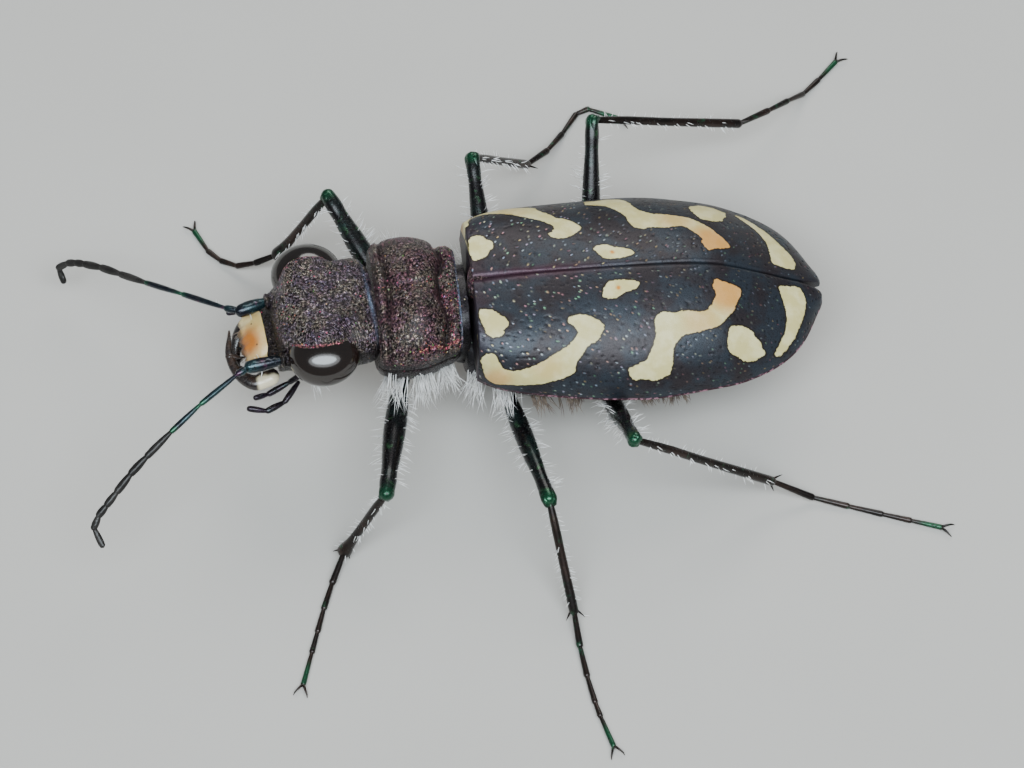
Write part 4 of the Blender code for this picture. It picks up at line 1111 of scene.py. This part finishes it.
def makeMouth():
    bm = bmesh.new()
    addTrunk(bm, mouth["lip"], 50, 120, 2.6, lipRelief)
    makePiece("lip", bm, makeIvoryFinish(), ["labrum"], headPlace)
    for name, side in signs.items():
        bm = bmesh.new()
        line = mouth["jaws"][name]
        addLimb(bm, line, mouth["jawRadii"], 20, 8, 0.8)
        for share, reach in mouth["jawTeeth"]:
            root = alongLine(line, share)
            tip = root + Vector((0.85, side * 0.25, 0)) * reach
            addLimb(bm, [root, root.lerp(tip, 0.5), tip], (0.14, 0.085, 0.012), 12, 4, 0.8)
        makePiece("jaw_" + name, bm, jawFinish, ["mandible_" + name], headPlace)
        flip = Vector((1, -side, 1))
        for label, node, points, widths in mouth["palps"]:
            bm = bmesh.new()
            addJointed(bm, [Vector(p) * flip for p in points], widths, 14, **bead)
            makePiece(label + name, bm, limbFinishes["palp"], [node + name], headPlace)


# Joints of the feelers, in the floor's directions
feelers = {
    "left": ((-5.48, -1.42, 4.35), (-6.39, -1.58, 4.4), (-6.72, -1.76, 4.4), (-7.88, -2.56, 4.25),
             (-8.78, -3.22, 4.0), (-9.52, -3.76, 3.7), (-10.0, -4.11, 3.45), (-10.44, -4.51, 3.2),
             (-10.76, -4.79, 3.0), (-11.01, -5.0, 2.83), (-11.19, -5.28, 2.62), (-11.0, -5.73, 2.35)),
    "right": ((-5.77, 0.46, 4.5), (-6.48, 0.2, 4.55), (-6.87, 0.4, 4.45), (-8.1, 1.42, 3.8),
              (-9.11, 2.34, 3.1), (-9.81, 3.01, 2.6), (-10.33, 3.5, 2.25), (-10.81, 3.86, 1.95),
              (-11.05, 4.02, 1.8), (-11.3, 4.15, 1.63), (-11.6, 4.2, 1.35), (-11.49, 3.95, 0.95)),
}
feelerWidths = (0.42, 0.22, 0.18, 0.18, 0.22, 0.24, 0.24, 0.23, 0.23, 0.22, 0.2)
# part, its first and last joint, its nodes
feelerParts = (("base", 0, 4, ("scape", "shaft")), ("whip", 4, 11, ("whip", "tip")))


def makeFeelers():
    for name, joints in feelers.items():
        joints = [Vector(p) for p in joints]
        green = {"tip": lambda p: max(ease(-(p - end).length, -0.28, -0.12) for end in joints[3:5])}
        for part, first, last, ends in feelerParts:
            bm = bmesh.new()
            addJointed(bm, joints[first:last + 1], feelerWidths[first:last], 14, **bead)
            nodes = [f"antenna_{name}_{node}" for node in ends]
            marks = green if part == "base" else None
            finish = limbFinishes["feeler_" + part]
            makePiece(f"feeler_{part}_{name}", bm, finish, nodes, floorPlace, marks)


eyeFinish = makeEyeFinish()
jawFinish = makeJawFinish()
makeHead()
makeMouth()
makeFeelers()
print("head, mouth and feelers are made")

# Hairs, each a thin bent spike, many in one mesh

hairs = {
    "rings": ((-0.06, 1.0), (0.4, 0.85), (0.75, 0.5)), "width": 0.032, "patch": 0.003, "clump": 14,
    "tie": 0.00001,  # a face that is further by less than this is as near as the nearest one
    # how many, where along the limb, length, and how far they lean to its end
    "femur": (84, (0.1, 0.92), 0.42, 0.5), "tibia": (66, (0.08, 0.96), 0.22, 0.9),
    "feeler": (3, (0.2, 0.95), 0.2, 0.2),
    # piece, frame, centre and spread of the roots, how many, way, scatter of the way, length
    "white": (
        ("pronotum", bodyPlace, (-2.15, 2.1, -0.35), (0.3, 0.1, 0.35), 76, (-0.1, 1.0, -0.5), 0.3, 1.0),
        ("pronotum", bodyPlace, (-1.35, 2.1, -0.45), (0.3, 0.1, 0.3), 40, (0.0, 1.0, -0.5), 0.3, 0.85),
        ("pronotum", bodyPlace, (-0.75, 1.9, -0.3), (0.2, 0.1, 0.3), 60, (0.1, 1.0, -0.5), 0.28, 0.85),
        ("trunk", bodyPlace, (0.1, 2.0, -0.55), (0.18, 0.1, 0.25), 60, (0.1, 1.0, -0.6), 0.28, 0.95),
        ("trunk", bodyPlace, (0.85, 2.3, -0.6), (0.2, 0.1, 0.25), 45, (0.3, 1.0, -0.7), 0.28, 0.95),
        ("head_capsule", headPlace, (-1.5, 1.3, -1.3), (0.25, 0.1, 0.12), 12, (-0.1, 1.0, -0.4), 0.2, 0.8)),
    "brown": (
        ("trunk", bodyPlace, (2.0, 2.6, -0.7), (0.65, 0.1, 0.25), 90, (0.35, 1.0, -0.9), 0.3, 0.62),
        ("belly", bodyPlace, (5.2, 2.7, -0.75), (0.9, 0.1, 0.25), 90, (0.6, 1.0, -0.6), 0.25, 0.35),
        ("lip", headPlace, (-3.4, 0.5, -1.15), (0.05, 0.2, 0.02), 5, (-1.0, 0.1, -0.5), 0.12, 0.5)),
}


def surfaceOf(name):
    mesh = bpy.data.objects[name].data
    corners = [face.vertices[:] for face in mesh.polygons]
    return BVHTree.FromPolygons([vert.co for vert in mesh.vertices], corners)


def rootHair(surface, place, spot, way, scatter, length):  # root, way, length and half width, in metres
    spot = toMetres @ place @ spot
    hit, *_, gap = surface.find_nearest(spot)
    faces = surface.find_nearest_range(spot, gap + hairs["tie"] * mm)
    normal = sum((face[1] for face in faces), Vector()).normalized()  # at an edge, that of all its faces
    lean = (place.to_3x3() @ way).normalized() + normal * 0.5 + Vector(dice.normal(0, scatter, 3))
    lean.normalize()
    length = length * dice.uniform(0.55, 1.15) * mm
    return (*hit, *lean, length, hairs["width"] * dice.uniform(0.7, 1.1) * mm / 2)


def bodyHairs(kind):
    found = []
    for piece, place, centre, spread, count, way, scatter, length in hairs[kind]:
        surface = surfaceOf(piece)
        for side in (-1, 1):
            flip = Vector((1, side, 1))
            for k in range(count):
                if k % hairs["clump"] == 0:
                    middle = Vector(centre) + Vector(dice.normal(0, 1, 3) * spread)
                    lean = Vector(way) + Vector(dice.normal(0, scatter * 1.2, 3))
                spot = middle + Vector(dice.normal(0, 0.07, 3))
                found.append(rootHair(surface, place, spot * flip, lean * flip, scatter * 0.65, length))
    return found


def limbHairs(piece, line, count, shares, length, lean):  # all round a limb, leaning towards its end
    surface = surfaceOf(piece)
    found = []
    for _ in range(count):
        share = dice.uniform(*shares)
        spot = alongLine(line, share)
        ahead, behind = alongLine(line, min(share + 0.05, 1)), alongLine(line, max(share - 0.05, 0))
        along = (ahead - behind).normalized()
        level = along.cross(upwards).normalized() * dice.choice((-1, 1))
        out = (level + along.cross(level) * dice.normal(0, 0.6)).normalized()
        found.append(rootHair(surface, floorPlace, spot + out, out + along * lean, 0.12, length))
    return found


def makeCoat(name, rows, finish):
    rows = np.array(rows)
    root, way, length, half = rows[:, 0:3], rows[:, 3:6], rows[:, 6:7], rows[:, 7:8]
    across = np.cross(way, (0.31, 0.22, 0.92))
    across /= np.linalg.norm(across, axis=1)[:, None]
    other = np.cross(way, across)
    sag = across * dice.normal(0, 0.16, (len(rows), 1)) + other * dice.normal(0, 0.16, (len(rows), 1))
    points = []
    for share, thick in hairs["rings"]:
        middle = root + (way * share + sag * share**2) * length
        for k in range(3):
            angle = math.tau * k / 3
            points.append(middle + (across * math.cos(angle) + other * math.sin(angle)) * half * thick)
    points.append(root + (way + sag) * length)
    verts = np.stack(points, 1).reshape(-1, 3)
    pattern = [(2, 1, 0)]
    for ring in (0, 3):
        pattern += [(ring + k, ring + (k + 1) % 3, ring + 3 + (k + 1) % 3, ring + 3 + k) for k in range(3)]
    pattern += [(6 + k, 6 + (k + 1) % 3, 9) for k in range(3)]
    faces = [tuple(10 * i + corner for corner in face) for i in range(len(rows)) for face in pattern]
    mesh = bpy.data.meshes.new(name)
    mesh.from_pydata(verts.tolist(), [], faces)
    low, high = (np.array(corner) for corner in cadBounds)
    share = (root - low) / (high - low)
    turn = np.arctan2(share[:, 2] - 0.5, share[:, 1] - 0.5) / math.tau + 0.5
    corners = np.concatenate(faces)
    own, local = corners // 10, corners % 10
    patch = np.stack([local % 3, local // 3], 1) / 3 * hairs["patch"]
    layer = mesh.uv_layers.new(name="OFBake")
    layer.data.foreach_set("uv", (np.stack([share[own, 0], turn[own]], 1) * 0.99 + patch).ravel())
    showPiece(name, mesh, finish, None)


whiteHair = makeHairFinish("white_hair", (0.62, 0.6, 0.57), (0.86, 0.85, 0.84))
brownHair = makeHairFinish("brown_hair", (0.09, 0.06, 0.045), (0.24, 0.18, 0.13))
makeCoat("hairs_white", bodyHairs("white"), whiteHair)
makeCoat("hairs_brown", bodyHairs("brown"), brownHair)
legRows = []
for name, leg in legs.items():
    shin = [Vector(leg["knee"]), footJoints(name)[0]]
    legRows += limbHairs("femur_" + name, femurLine(name), *hairs["femur"])
    legRows += limbHairs("tibia_" + name, shin, *hairs["tibia"])
for name, joints in feelers.items():
    legRows += limbHairs("feeler_base_" + name, [Vector(p) for p in joints[:2]], *hairs["feeler"])
makeCoat("hairs_legs", legRows, whiteHair)
print("hairs are made")
